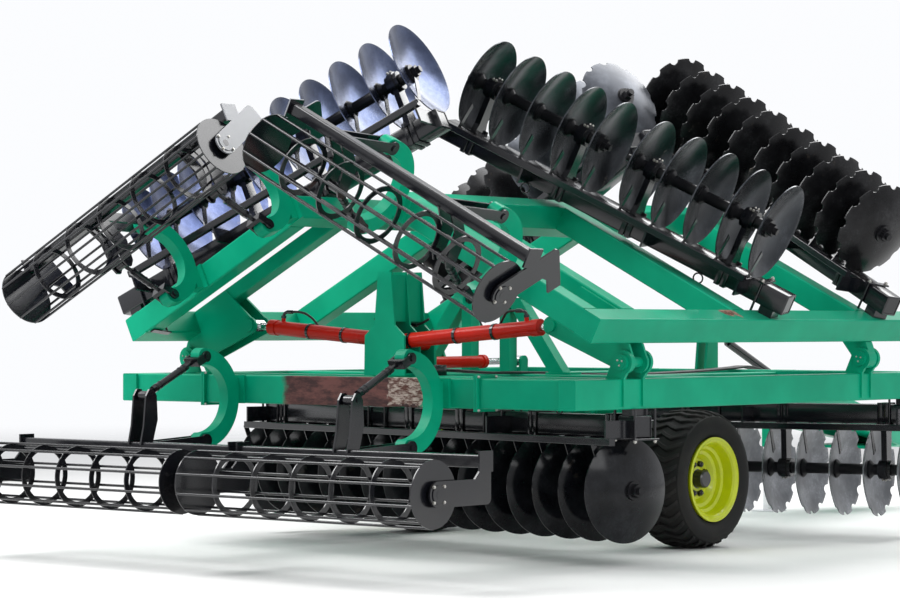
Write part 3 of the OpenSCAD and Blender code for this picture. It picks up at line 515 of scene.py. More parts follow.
@dataclass(frozen=True)
class WheelPaint:
    """Rim paint, with the hub cap inside a radius in black."""

    name: str
    side: int
    colour: Colour = linear(204, 214, 0)
    cap_radius: float = 0.070
    black: Colour = (0.014, 0.014, 0.016)
    dust: Colour = linear(150, 140, 112)

    def make(self) -> bpy.types.Material:
        """Returns the material."""
        graph = Graph(self.name)
        where = graph.place()
        centre = Harrow.machine() @ Vector((self.side * Harrow.wheel.x, Harrow.wheel.y, Harrow.wheel.z))
        flat = graph.vector("MULTIPLY", graph.vector("SUBTRACT", where, tuple(centre)), (0, 1, 1))
        radius = graph.vector("LENGTH", flat, output="Value")
        outer = radius.step(self.cap_radius, self.cap_radius + 0.001)
        cloud = graph.noise(where, 6.0, 5.0, 0.6)
        grime = graph.noise(where, 11.0, 6.0, 0.7).step(0.5, 0.85) * radius.step(0.2, 0.3) * 0.3
        paint = graph.mix(cloud.step(0.3, 0.7), tuple(c * 0.9 for c in self.colour), self.colour)
        colour = graph.mix(outer, self.black, graph.mix(grime, paint, self.dust))
        rough = 0.3 + 0.1 * cloud + grime * 0.4
        normal = graph.bump(graph.noise(where, 90.0, 3.0, 0.5), 0.08, 0.001)
        changing = {"Base Color": colour, "Roughness": rough, "Normal": normal}
        return graph.finish(changing, {"Coat Weight": 0.4, "Coat Roughness": 0.1})


@dataclass(frozen=True)
class Rubber:
    """Tyre or hose rubber with dust in its fine pores."""

    name: str
    colour: Colour = (0.005, 0.005, 0.0055)
    dust: float = 0.06
    roughness: float = 0.78
    dust_colour: Colour = linear(128, 120, 106)

    def make(self) -> bpy.types.Material:
        """Returns the material."""
        graph = Graph(self.name)
        where = graph.place()
        cloud = graph.noise(where, 5.0, 6.0, 0.65)
        pores = graph.noise(where, 160.0, 3.0, 0.6)
        worn = (cloud * 0.7 + pores * 0.3).step(0.38, 0.72) * self.dust
        colour = graph.mix(worn, self.colour, self.dust_colour)
        rough = self.roughness + 0.12 * (cloud - 0.5)
        normal = graph.bump(pores * 0.6 + cloud * 0.4, 0.3, 0.0015)
        changing = {"Base Color": colour, "Roughness": rough, "Normal": normal}
        return graph.finish(changing, {"Specular IOR Level": 0.35})


@dataclass(frozen=True)
class Metal:
    """Bright metal: chrome rods or zinc-plated fasteners."""

    name: str
    colour: Colour = (0.72, 0.73, 0.75)
    roughness: float = 0.12
    stain: Colour = (0.30, 0.27, 0.22)
    stained: float = 0.25

    def make(self) -> bpy.types.Material:
        """Returns the material."""
        graph = Graph(self.name)
        where = graph.place()
        cloud = graph.noise(where, 18.0, 5.0, 0.6)
        mark = cloud.step(0.5, 0.8) * self.stained
        colour = graph.mix(mark, self.colour, self.stain)
        rough = self.roughness + mark * 0.6 + 0.04 * graph.noise(where, 140.0)
        changing = {"Base Color": colour, "Roughness": rough, "Normal": graph.bump(cloud, 0.05, 0.0005)}
        return graph.finish(changing, {"Metallic": 1.0})


@dataclass(frozen=True)
class Floor:
    """Plain pale floor that fades into the background between two distances."""

    name: str = "studio_floor"
    colour: Colour = (0.86, 0.855, 0.845)
    near: float = 7.0
    far: float = 26.0

    def make(self) -> bpy.types.Material:
        """Returns the material."""
        graph = Graph(self.name)
        cloud = graph.noise(graph.place(), 0.6, 5.0, 0.6)
        colour = graph.mix(cloud.step(0.3, 0.7), tuple(c * 0.97 for c in self.colour), self.colour)
        normal = graph.bump(graph.noise(graph.place(), 40.0, 4.0, 0.6), 0.1, 0.002)
        away = graph.vector("LENGTH", graph.place(), output="Value")
        changing = {"Base Color": colour, "Normal": normal, "Alpha": 1 - away.step(self.near, self.far)}
        return graph.finish(changing, {"Roughness": 0.9, "Specular IOR Level": 0.1})


# Colour, roughness, coat, dust and scuffs of the black paint
BLACK_LOOK: tuple[Colour, float, float, float, float] = ((0.004, 0.0045, 0.0075), 0.2, 0.15, 0.07, 0.16)

# A worn place on the right wing's inner rail
RAIL_SPOT: Point = (2.12, 1.72, 1.725)

# A point by the outer end of the right wing's roller, and the slope of the folded wing, across and up; past
# that plane the roller frames are painted pale as a painted highlight of the outer end plates
ROLLER_SHEEN_EDGE: Point = (0.1817, -0.88, 2.823)
SLOPE: tuple[float, float] = (0.891, 0.454)


class Finish(Enum):
    """The finishes that pieces are dressed in."""

    GREEN = Paint(
        "green_gloss",
        linear(0, 160, 122),
        0.34,
        0.0,
        0.06,
        gloss=0.12,
        patches=(
            Patch((0.15, 0.02, 1.16), (0.66, 0.06, 0.11), linear(66, 50, 50), linear(112, 76, 72), 0.12, 7.0),
            Patch(
                (0.64, 0.02, 1.17), (0.16, 0.05, 0.10), linear(92, 62, 56), linear(188, 174, 164), 0.6, 30.0
            ),
            Patch(RAIL_SPOT, (0.09, 0.09, 0.05), linear(88, 60, 50), linear(160, 130, 116), 0.8, 22.0),
        ),
    )
    BLACK = Paint("black_gloss", *BLACK_LOOK)
    RED = Paint("red_gloss", linear(200, 26, 6), 0.28, 0.0, 0.06, gloss=0.2)
    # Wing roller frames: black paint, with the outer end plates painted pale grey as a painted highlight,
    # paler on the right than on the left.
    FRAME_RIGHT_SHEEN = Paint(
        "roller_frame_right",
        *BLACK_LOOK,
        beyond=(ROLLER_SHEEN_EDGE, (-SLOPE[0], 0.0, SLOPE[1]), (0.34, 0.35, 0.38)),
    )
    FRAME_LEFT_SHEEN = Paint(
        "roller_frame_left",
        *BLACK_LOOK,
        beyond=((-ROLLER_SHEEN_EDGE[0], *ROLLER_SHEEN_EDGE[1:]), (SLOPE[0], 0.0, SLOPE[1]), (0.24, 0.25, 0.27)),
    )
    CHROME = Metal("chrome_rod")
    ZINC = Metal("zinc_plate", (0.50, 0.49, 0.46), 0.32, (0.28, 0.20, 0.12), 0.5)
    TYRE = Rubber("tyre_rubber")
    HOSE = Rubber("hose_rubber", (0.008, 0.008, 0.009), 0.08, 0.42)

    @property
    def material(self) -> bpy.types.Material:
        """The material, made when it is first asked for."""
        return bpy.data.materials.get(self.value.name) or self.value.make()


def dress(piece: bpy.types.Object, material: bpy.types.Material) -> None:
    """Gives a piece one material all over."""
    piece.data.materials.clear()
    piece.data.materials.append(material)


# Modelling by hand


class Bench:
    """Modelling steps with Blender's own operators."""

    @staticmethod
    def pick(*pieces: bpy.types.Object) -> None:
        """Selects only these pieces and makes the first one active."""
        bpy.ops.object.select_all(action="DESELECT")
        for piece in pieces:
            piece.select_set(True)
        bpy.context.view_layer.objects.active = pieces[0]

    @staticmethod
    def clear() -> None:
        """Deselects everything."""
        bpy.ops.object.select_all(action="DESELECT")

    @staticmethod
    def named(name: str) -> bpy.types.Object:
        """Names the active piece and puts its place in its mesh.

        Args:
            name: the piece's name.

        Returns:
            The piece.
        """
        piece = bpy.context.view_layer.objects.active
        piece.name = name
        Bench.pick(piece)
        bpy.ops.object.transform_apply(location=True, rotation=True, scale=True)
        return piece

    @staticmethod
    def cylinder(name: str, radius: float, low: Point, high: Point, sides: int = 24) -> bpy.types.Object:
        """Makes a cylinder.

        Args:
            name: the piece's name.
            radius: its radius.
            low: the middle of one end.
            high: the middle of the other end.
            sides: flats round it.

        Returns:
            The cylinder.
        """
        start, end = Vector(low), Vector(high)
        line = end - start
        Bench.clear()
        bpy.ops.mesh.primitive_cylinder_add(
            vertices=sides,
            radius=radius,
            depth=line.length,
            location=(start + end) / 2,
            rotation=line.to_track_quat("Z", "Y").to_euler(),
        )
        return Bench.named(name)

    @staticmethod
    def block(name: str, low: Point, high: Point) -> bpy.types.Object:
        """Makes a block.

        Args:
            name: the piece's name.
            low: the corner with the least coordinates.
            high: the opposite corner.

        Returns:
            The block.
        """
        a, b = Vector(low), Vector(high)
        Bench.clear()
        bpy.ops.mesh.primitive_cube_add(size=1.0, location=(a + b) / 2, scale=b - a)
        return Bench.named(name)

    @staticmethod
    def edit(piece: bpy.types.Object, choose: Chooser, mode: str = "FACE") -> None:
        """Opens a piece in edit mode with chosen elements selected.

        Args:
            piece: the piece.
            choose: returns the elements to select.
            mode: the kind of element, VERT, EDGE or FACE.
        """
        Bench.pick(piece)
        bpy.ops.object.mode_set(mode="EDIT")
        bpy.ops.mesh.select_mode(type=mode)
        bpy.ops.mesh.select_all(action="DESELECT")
        Bench.select(piece, choose)

    @staticmethod
    def select(piece: bpy.types.Object, choose: Chooser) -> None:
        """Selects in edit mode.

        Args:
            piece: the piece that is being edited.
            choose: returns the elements to select.
        """
        mesh = bmesh.from_edit_mesh(piece.data)
        for group in (mesh.verts, mesh.edges, mesh.faces):
            for item in group:
                item.select = False
        for item in choose(mesh):
            item.select_set(True)
        mesh.select_flush_mode()
        bmesh.update_edit_mesh(piece.data)

    @staticmethod
    def done() -> None:
        """Leaves edit mode."""
        bpy.ops.object.mode_set(mode="OBJECT")

    @staticmethod
    def bevel(piece: bpy.types.Object, width: float, segments: int = 2, angle: float = 40.0) -> None:
        """Rounds a piece's edges with a modifier that is applied.

        Args:
            piece: the piece.
            width: width of the rounding.
            segments: steps across it.
            angle: least angle in degrees between faces whose edge is rounded.
        """
        Bench.pick(piece)
        modifier = piece.modifiers.new("round", "BEVEL")
        modifier.width = width
        modifier.segments = segments
        modifier.limit_method = "ANGLE"
        modifier.angle_limit = math.radians(angle)
        bpy.ops.object.modifier_apply(modifier=modifier.name)

    @staticmethod
    def smooth(piece: bpy.types.Object, angle: float = 35.0) -> None:
        """Smooths shading where faces meet at less than the angle."""
        Bench.pick(piece)
        bpy.ops.object.shade_smooth_by_angle(angle=math.radians(angle))

    @staticmethod
    def join(pieces: Sequence[bpy.types.Object], name: str) -> bpy.types.Object:
        """Joins pieces into one.

        Args:
            pieces: the pieces.
            name: the joined piece's name.

        Returns:
            The joined piece.
        """
        Bench.pick(*pieces)
        if len(pieces) > 1:
            bpy.ops.object.join()
        return Bench.named(name)

    @staticmethod
    def copies(master: bpy.types.Object, places: Sequence[Matrix], name: str) -> bpy.types.Object:
        """Copies a master to several places and joins the copies.

        Args:
            master: the piece as it lies at the origin; it is removed.
            places: a matrix for each copy.
            name: the joined piece's name.

        Returns:
            The joined piece.
        """
        made = []
        for place in places:
            piece = master.copy()
            piece.data = master.data.copy()
            piece.data.transform(place)
            bpy.context.scene.collection.objects.link(piece)
            made.append(piece)
        bpy.data.objects.remove(master)
        return Bench.join(made, name)

    @staticmethod
    def spun(
        name: str, outline: Sequence[tuple[float, float]], place: Matrix, steps: int = 48
    ) -> bpy.types.Object:
        """Turns a half section about local Z.

        Args:
            name: the piece's name.
            outline: points as (radius, height), joined in order and closed.
            place: where the turned piece goes.
            steps: sides of the turned shape.

        Returns:
            The piece.
        """
        Bench.clear()
        bpy.ops.mesh.primitive_plane_add(size=0.01, location=(outline[0][0], 0, outline[0][1]))
        piece = Bench.named(name)
        Bench.edit(piece, lambda mesh: mesh.verts, "VERT")
        bpy.ops.mesh.merge(type="CENTER")
        bpy.ops.mesh.select_all(action="SELECT")
        path = [*outline[1:], outline[0]]
        for (r0, z0), (r1, z1) in zip(outline, path):
            move = {"value": (r1 - r0, 0, z1 - z0)}
            bpy.ops.mesh.extrude_region_move(TRANSFORM_OT_translate=move)
        bpy.ops.mesh.select_all(action="SELECT")
        bpy.ops.mesh.spin(steps=steps, angle=math.tau, center=(0, 0, 0), axis=(0, 0, 1))
        bpy.ops.mesh.select_all(action="SELECT")
        bpy.ops.mesh.remove_doubles(threshold=1e-5)
        bpy.ops.mesh.normals_make_consistent(inside=False)
        Bench.done()
        piece.data.transform(place)
        Bench.smooth(piece)
        return piece

    @staticmethod
    def tube(name: str, points: Sequence[Point], radius: float) -> bpy.types.Object:
        """Makes a round tube along points, as a mesh.

        Args:
            name: the piece's name.
            points: the points it follows.
            radius: its radius.

        Returns:
            The tube.
        """
        Bench.clear()
        bpy.ops.curve.primitive_bezier_curve_add(enter_editmode=False, location=(0, 0, 0))
        curve = bpy.context.view_layer.objects.active
        curve.data.splines.clear()
        spline = curve.data.splines.new("NURBS")
        spline.points.add(len(points) - 1)
        for item, point in zip(spline.points, points):
            item.co = (*point, 1.0)
        spline.order_u = 3
        spline.use_endpoint_u = True
        curve.data.dimensions = "3D"
        curve.data.bevel_depth = radius
        curve.data.bevel_resolution = 2
        curve.data.resolution_u = 6
        curve.data.use_fill_caps = True
        Bench.pick(curve)
        bpy.ops.object.convert(target="MESH")
        piece = Bench.named(name)
        bpy.ops.object.mode_set(mode="EDIT")
        bpy.ops.mesh.select_all(action="SELECT")
        bpy.ops.mesh.remove_doubles(threshold=1e-5)
        bpy.ops.mesh.normals_make_consistent(inside=False)
        Bench.done()
        Bench.smooth(piece, 50.0)
        return piece


def facing(direction: Vector) -> Chooser:
    """Returns a chooser of the faces that look in a direction."""
    return lambda mesh: [f for f in mesh.faces if f.normal.dot(direction) > 0.9]


def stand(at: Vector | Point, axis: Vector | Point) -> Matrix:
    """Returns a matrix that stands local Z along an axis at a point."""
    return Matrix.Translation(Vector(at)) @ Vector(axis).to_track_quat("Z", "Y").to_matrix().to_4x4()


class Fastener:
    """Hexagon bolt heads, modelled once for each size and copied."""

    @staticmethod
    def bolt(name: str, across: float) -> bpy.types.Object:
        """Makes a washer, a hexagon nut and the end of its thread, standing on the origin along Z.

        Args:
            name: the piece's name.
            across: the nut's width over its flats.

        Returns:
            The three in one piece.
        """
        washer = Bench.cylinder(name, across * 0.62, (0, 0, 0), (0, 0, across * 0.14), 20)
        low = across * 0.14
        head = Bench.cylinder(name + "_head", across * 0.577, (0, 0, low), (0, 0, low + across * 0.5), 6)
        Bench.edit(head, facing(Vector((0, 0, 1))))
        bpy.ops.mesh.inset(thickness=across * 0.22)
        bpy.ops.mesh.extrude_region_move(TRANSFORM_OT_translate={"value": (0, 0, across * 0.22)})
        Bench.done()
        Bench.bevel(head, across * 0.05, 1)
        return Bench.join([washer, head], name)

    @staticmethod
    def many(name: str, across: float, places: Sequence[Matrix], body: str, finish: Finish) -> None:
        """Puts like bolts on a body.

        Args:
            name: the joined piece's name.
            across: the nut's width over its flats.
            places: a matrix for each bolt.
            body: the body that carries them.
            finish: what they are dressed in.
        """
        piece = Bench.copies(Fastener.bolt(name + "_one", across), places, name)
        Bench.smooth(piece, 30.0)
        dress(piece, finish.material)
        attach(piece, body)
        LOG.info("%s: %d bolts", name, len(places))


# Sub-assemblies


@dataclass
class Tyre:
    """A flotation tyre with a zigzag tread, which stands for the plain one of the frame.

    Attributes:
        side: 1 for the right one, -1 for the left one.
        radius: outer radius over the lugs.
        half: half of its width.
        rim: radius of its seat on the rim.
        lug_height: depth of the tread.
        lugs: bars round the tread.
    """

    side: int
    radius: float = 0.5
    half: float = 0.22
    rim: float = 0.29
    lug_height: float = 0.020
    lugs: int = 34
    segments: int = 8

    @property
    def place(self) -> Matrix:
        """The wheel's centre, with local Z along the axle, outwards."""
        centre = Vector((self.side * Harrow.wheel.x, Harrow.wheel.y, Harrow.wheel.z))
        return Harrow.machine() @ stand(centre, (self.side, 0, 0))

    def outline(self) -> list[tuple[float, float]]:
        """Returns the closed half section of the carcass, as (radius, height)."""
        crown = self.radius - self.lug_height
        half, rim = self.half, self.rim
        outer = [
            (rim, half - 0.055), (rim + 0.020, half - 0.030), (rim + 0.045, half - 0.012),
            (rim + 0.080, half - 0.002), (rim + 0.110, half), (rim + 0.140, half - 0.006),
            (rim + 0.163, half - 0.018), (crown - 0.022, half - 0.034), (crown - 0.010, half - 0.056),
            (crown - 0.003, half - 0.100), (crown, half - 0.160),
        ]
        return outer + [(r, -z) for r, z in reversed(outer)]

    def lug(self) -> bpy.types.Object:
        """Returns one zigzag bar, across the tread at the wheel's foremost point."""
        reach = self.half - 0.030
        wide, sunk = 0.034, 0.012
        low = (self.radius - self.lug_height - sunk, -wide / 2, -reach)
        bar = Bench.block("lug", low, (self.radius, wide / 2, reach))

        def long_edges(mesh: bmesh.types.BMesh) -> list[bmesh.types.BMEdge]:
            """Returns the edges that run across the tread."""
            return [e for e in mesh.edges if abs(e.verts[0].co.z - e.verts[1].co.z) > reach]

        Bench.edit(bar, long_edges, "EDGE")
        bpy.ops.mesh.subdivide(number_cuts=self.segments - 1)
        for step in range(self.segments + 1):
            height = -reach + 2 * reach * step / self.segments
            swing = (-0.026, 0.006, 0.028, 0.010, -0.018, 0.010, 0.028, 0.006, -0.026)[step]
            drop = 0.030 * abs(height / reach) ** 5
            Bench.select(bar, lambda mesh, z=height: [v for v in mesh.verts if abs(v.co.z - z) < 1e-4])
            bpy.ops.transform.translate(value=(-drop, swing, 0))
        Bench.done()
        Bench.bevel(bar, 0.004, 1, 50.0)
        return bar

    def build(self) -> None:
        """Makes the tyre and puts it on its wheel."""
        name = f"tread_tyre_{SIDES[self.side]}"
        carcass = Bench.spun(name, self.outline(), self.place, 96)
        turns = [self.place @ Matrix.Rotation(math.tau * i / self.lugs, 4, "Z") for i in range(self.lugs)]
        tread = Bench.copies(self.lug(), turns, name + "_lugs")
        tyre = Bench.join([carcass, tread], name)
        Bench.smooth(tyre, 35.0)
        dress(tyre, Finish.TYRE.material)
        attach(tyre, f"wheel_{SIDES[self.side]}")
        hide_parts(f"tyre_{SIDES[self.side]}")
        LOG.info("%s: %d lugs", name, self.lugs)


@dataclass
class Wheels:
    """Both wheels: tyres and wheel nuts."""

    nuts: int = 8
    nut_circle: float = 0.112
    nut_seat: float = 0.043
    nut: float = 0.040

    def build(self) -> None:
        """Dresses the wheels."""
        for side, word in SIDES.items():
            tyre = Tyre(side)
            tyre.build()
            turns = [math.tau * (i + 0.5) / self.nuts for i in range(self.nuts)]
            r, seat = self.nut_circle, self.nut_seat
            spots = [(r * math.cos(t), r * math.sin(t), seat) for t in turns]
            places = [tyre.place @ Matrix.Translation(spot) for spot in spots]
            Fastener.many(f"wheel_nuts_{word}", self.nut, places, f"wheel_{word}", Finish.BLACK)


# Words in a gang's name, then its colour, share of bare metal, metallic value and roughness. The blue of the
# left wing's rear discs is a painted sky reflection.
GANG_LOOKS: tuple[tuple[str, tuple[Colour, float, float, float]], ...] = (
    ("gang_front", ((0.12, 0.125, 0.135), 0.7, 0.7, 0.34)),
    ("gang_rear", ((0.004, 0.0045, 0.006), 0.02, 0.1, 0.12)),
    # Left wing's rear discs: the blue tint, lighter on the outer gang, is a painted sky reflection.
    ("wing_rear_outer_left", ((0.040, 0.052, 0.095), 0.10, 0.8, 0.2)),
    ("wing_rear_inner_left", ((0.030, 0.042, 0.095), 0.10, 0.8, 0.2)),
    ("wing_front_outer_left", ((0.045, 0.049, 0.058), 0.1, 0.6, 0.3)),
    ("wing_front", ((0.006, 0.006, 0.007), 0.04, 0.2, 0.22)),
    ("wing_rear", ((0.020, 0.023, 0.028), 0.12, 0.6, 0.2)),
)


@dataclass
class Gangs:
    """The gangs' own steel, each with its rings about its own shaft."""

    nodes: dict[str, bpy.types.Object]

    def names(self, row: Row) -> list[str]:
        """Names the nodes of a row's gangs.

        Args:
            row: the row.

        Returns:
            The two names.
        """
        place = "front" if row.front else "rear"
        if row.side:
            return [f"wing_{place}_{end}_{SIDES[row.side]}" for end in ("inner", "outer")]
        return [f"gang_{place}_{word}" for word in SIDES.values()]

    def build(self) -> None:
        """Dresses the gangs."""
        for row in ROWS:
            place = row.matrix
            centre = place @ Vector((0, 0, Harrow.gang_z))
            axis = (place.to_3x3() @ Vector((1, 0, 0))).normalized()
            for name in self.names(row):
                look = next(values for word, values in GANG_LOOKS if word in name)
                dress(self.nodes[name], GangSteel("steel_" + name, centre, axis, *look).make())


@dataclass
class RowGear:
    """The gang beams, with the bolts and straps that hold them to the frame and the standards to them.

    Attributes:
        stud: width of the studs' nuts over their flats.
        stud_radius: radius of the studs.
        strap: thickness of the straps.
        strap_width: width of the clamp straps.
        strap_reach: half of the clamp straps' length.
        clamp_half: how far beside the middle of a clamp its straps lie.
        stud_off: how far from the beam's middle the studs stand.
        housing: radius on which the bolts of a bearing housing sit.
        housing_bolt: width of those bolts over their flats.
    """

    stud: float = 0.024
    stud_radius: float = 0.009
    strap: float = 0.012
    strap_width: float = 0.044
    strap_reach: float = 0.110
    clamp_half: float = 0.100
    stud_off: float = 0.088
    housing: float = 0.0845
    housing_bolt: float = 0.016

    def sides_of(self, row: Row) -> tuple[float, ...]:
        """Returns how far beside a clamp its straps lie, on the wings only outwards."""
        return (row.side * self.clamp_half,) if row.side else (-self.clamp_half, self.clamp_half)

    def clamp_places(self, row: Row) -> list[Matrix]:
        """Returns where the nuts of the clamps sit, under a gang beam."""
        low = Harrow.beam_z - Harrow.beam / 2 - self.strap
        return [
            row.matrix @ stand((row.along(x) + dx, dy, low), (0, 0, -1))
            for x in row.clamps
            for dx in self.sides_of(row)
            for dy in (-self.stud_off, self.stud_off)
        ]

    def strap_over(self, name: str) -> bpy.types.Object:
        """Makes a strap round a gang beam, as it lies at the middle of a row.

        Args:
            name: the piece's name.

        Returns:
            The strap.
        """
        half = Harrow.beam / 2
        low, high = Harrow.beam_z - half - 0.018, Harrow.beam_z + half
        t = self.strap
        leg = Bench.block(name, (-0.02, half + 0.001, low), (0.02, half + 0.001 + t, high))

        def back(mesh: bmesh.types.BMesh) -> list[bmesh.types.BMFace]:
            """Returns the rear face of the part over the beam."""
            return [f for f in mesh.faces if f.normal.y < -0.9 and f.calc_center_median().z > high]

        def under(mesh: bmesh.types.BMesh) -> list[bmesh.types.BMFace]:
            """Returns the lower face of the part behind the beam."""
            return [f for f in mesh.faces if f.normal.z < -0.9 and f.calc_center_median().y < -half - t / 4]

        Bench.edit(leg, facing(Vector((0, 0, 1))))
        bpy.ops.mesh.extrude_region_move(TRANSFORM_OT_translate={"value": (0, 0, t)})
        Bench.select(leg, back)
        bpy.ops.mesh.extrude_region_move(TRANSFORM_OT_translate={"value": (0, -2 * half - 0.002, 0)})
        bpy.ops.mesh.extrude_region_move(TRANSFORM_OT_translate={"value": (0, -t, 0)})
        Bench.select(leg, under)
        bpy.ops.mesh.extrude_region_move(TRANSFORM_OT_translate={"value": (0, 0, low - high)})
        Bench.done()
        Bench.bevel(leg, 0.004, 2)
        return leg

    def build(self) -> None:
        """Makes the gear of every row."""
        beams: dict[str, list[bpy.types.Object]] = {}
        for row in ROWS:
            beams.setdefault(row.body, []).append(self.beams(row))
        for body, made in beams.items():
            piece = Bench.join(made, f"gang_beams_of_{body}")
            dress(piece, Finish.BLACK.material)
            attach(piece, body)
            plain = "centre_gang_beams" if body == "chassis" else body.replace("wing", "wing_gang_beams")
            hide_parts(plain)
        for row in ROWS:
            self.plates(row)
            nuts = self.clamp_places(row)
            Fastener.many(f"clamp_nuts_{row.name}", self.stud, nuts, row.body, Finish.ZINC)
            spots = [s + d for s in row.bearings() for d in (-0.024, 0.024)]
            places = [row.matrix @ Matrix.Translation((s, 0, 0)) for s in spots]
            straps = Bench.copies(self.strap_over("strap"), places, f"beam_straps_{row.name}")
            Bench.smooth(straps, 40.0)
            dress(straps, Finish.BLACK.material)
            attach(straps, row.body)
            self.housing_bolts(row)

    def beams(self, row: Row) -> bpy.types.Object:
        """Makes a row's beam with its closed ends and the spacers that carry it under its frame.

        Args:
            row: the row.

        Returns:
            The beam in its place.
        """
        half = Harrow.beam / 2
        low, high = row.ends
        beam = Bench.block("beam", (low, -half, Harrow.beam_z - half), (high, half, Harrow.beam_z + half))
        Bench.bevel(beam, 0.012, 3)

        def ends(mesh: bmesh.types.BMesh) -> list[bmesh.types.BMFace]:
            """Returns the two end faces."""
            return [f for f in mesh.faces if abs(f.normal.x) > 0.9 and f.calc_area() > half * half]

        Bench.edit(beam, ends)
        bpy.ops.mesh.inset(thickness=0.004)
        bpy.ops.mesh.extrude_region_shrink_fatten(TRANSFORM_OT_shrink_fatten={"value": -0.004})
        Bench.done()
        spacers = [
            Bench.block(
                "spacer",
                (row.along(x) - 0.05, -half + 0.006, Harrow.beam_z + half - 0.004),
                (row.along(x) + 0.05, half - 0.006, self.seat(row, x)),
            )
            for x in row.clamps
        ]
        made = Bench.join([beam, *spacers], f"gang_beam_{row.name}")
        made.data.transform(row.matrix)
        Bench.smooth(made, 30.0)
        return made

    @staticmethod
    def seat(row: Row, x: float) -> float:
        """Returns the height of the underside of the frame member over a clamp."""
        if row.side:
            return Harrow.wing_low
        return Harrow.frame_low if abs(x) > 1.0 else Harrow.inner_low

    def plates(self, row: Row) -> None:
        """Makes the studs and straps of a row's clamps, on the wings also over the frame.

        Args:
            row: the row.
        """
        low = Harrow.beam_z - Harrow.beam / 2
        made = []
        for x in row.clamps:
            top = Harrow.wing_top if row.side else self.seat(row, x)
            for dx in self.sides_of(row):
                at = row.along(x) + dx
                for z in (low - self.strap, top) if row.side else (low - self.strap,):
                    corner = (at - self.strap_width / 2, -self.strap_reach, z)
                    other = (at + self.strap_width / 2, self.strap_reach, z + self.strap)
                    made.append(Bench.block("strap", corner, other))
                for dy in (-self.stud_off, self.stud_off):
                    foot = (at, dy, low - self.strap)
                    made.append(Bench.cylinder("stud", self.stud_radius, foot, (at, dy, top), 12))
        piece = Bench.join(made, f"clamp_straps_{row.name}")
        piece.data.transform(row.matrix)
        Bench.bevel(piece, 0.002, 1)
        Bench.smooth(piece, 30.0)
        dress(piece, Finish.BLACK.material)
        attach(piece, row.body)

    def housing_bolts(self, row: Row) -> None:
        """Puts bolts under a row's bearing housings.

        Args:
            row: the row.
        """
        hub = Vector((0, 0, Harrow.gang_z))
        places = []
        for s in row.bearings():
            for dx in (-0.012, 0.012):
                for angle in (math.radians(150), math.radians(-150)):
                    way = Vector((0, math.sin(angle), math.cos(angle)))
                    places.append(row.matrix @ stand(hub + Vector((s + dx, 0, 0)) + way * self.housing, way))
        Fastener.many(f"housing_bolts_{row.name}", self.housing_bolt, places, row.body, Finish.ZINC)


@dataclass
class RollerGear:
    """Bolts on the hook-shaped end plates of the roller frames.

    Attributes:
        centre_ends: places of a centre roller's two end plates across the machine.
        wing_ends: the same for a wing's roller, with the wing down.
        centre_yz: station and height of the centre rollers' axis.
        wing_yz: the same for the wings' rollers, with the wing down.
        circle_radius: radius on which the bolts sit.
        plate_half: half of the end plates' thickness.
        bolt: width of the bolts over their flats.
    """

    centre_ends: tuple[float, float] = (0.038, 2.112)
    wing_ends: tuple[float, float] = (2.208, 4.472)
    centre_yz: tuple[float, float] = (-1.38, 0.59)
    wing_yz: tuple[float, float] = (-0.88, 0.94)
    circle_radius: float = 0.067
    plate_half: float = 0.007
    bolt: float = 0.018

    def circle(
        self, side: int, ends: tuple[float, float], at: tuple[float, float], base: Matrix
    ) -> list[Matrix]:
        """Returns where the bearing bolts of one roller sit, on the outer faces of its end plates.

        Args:
            side: 1 for the right, -1 for the left.
            ends: places of the two end plates across the machine.
            at: station and height of the roller's axis.
            base: the matrix from there to the machine.

        Returns:
            A matrix for each bolt.
        """
        r = self.circle_radius
        places = []
        for x, out in ((ends[0] - self.plate_half, -1), (ends[1] + self.plate_half, 1)):
            for i in range(4):
                turn = math.tau * (i + 0.5) / 4
                spot = Vector((side * x, at[0] + r * math.cos(turn), at[1] + r * math.sin(turn)))
                places.append(base @ stand(spot, (side * out, 0, 0)))
        return places

    def build(self) -> None:
        """Makes the bolts of all rollers."""
        for side, word in SIDES.items():
            at_centre = self.circle(side, self.centre_ends, self.centre_yz, Harrow.machine())
            Fastener.many(f"roller_bolts_centre_{word}", self.bolt, at_centre, "chassis", Finish.ZINC)
            at_wing = self.circle(side, self.wing_ends, self.wing_yz, Harrow.folded(side))
            Fastener.many(f"roller_bolts_wing_{word}", self.bolt, at_wing, f"wing_{word}", Finish.ZINC)


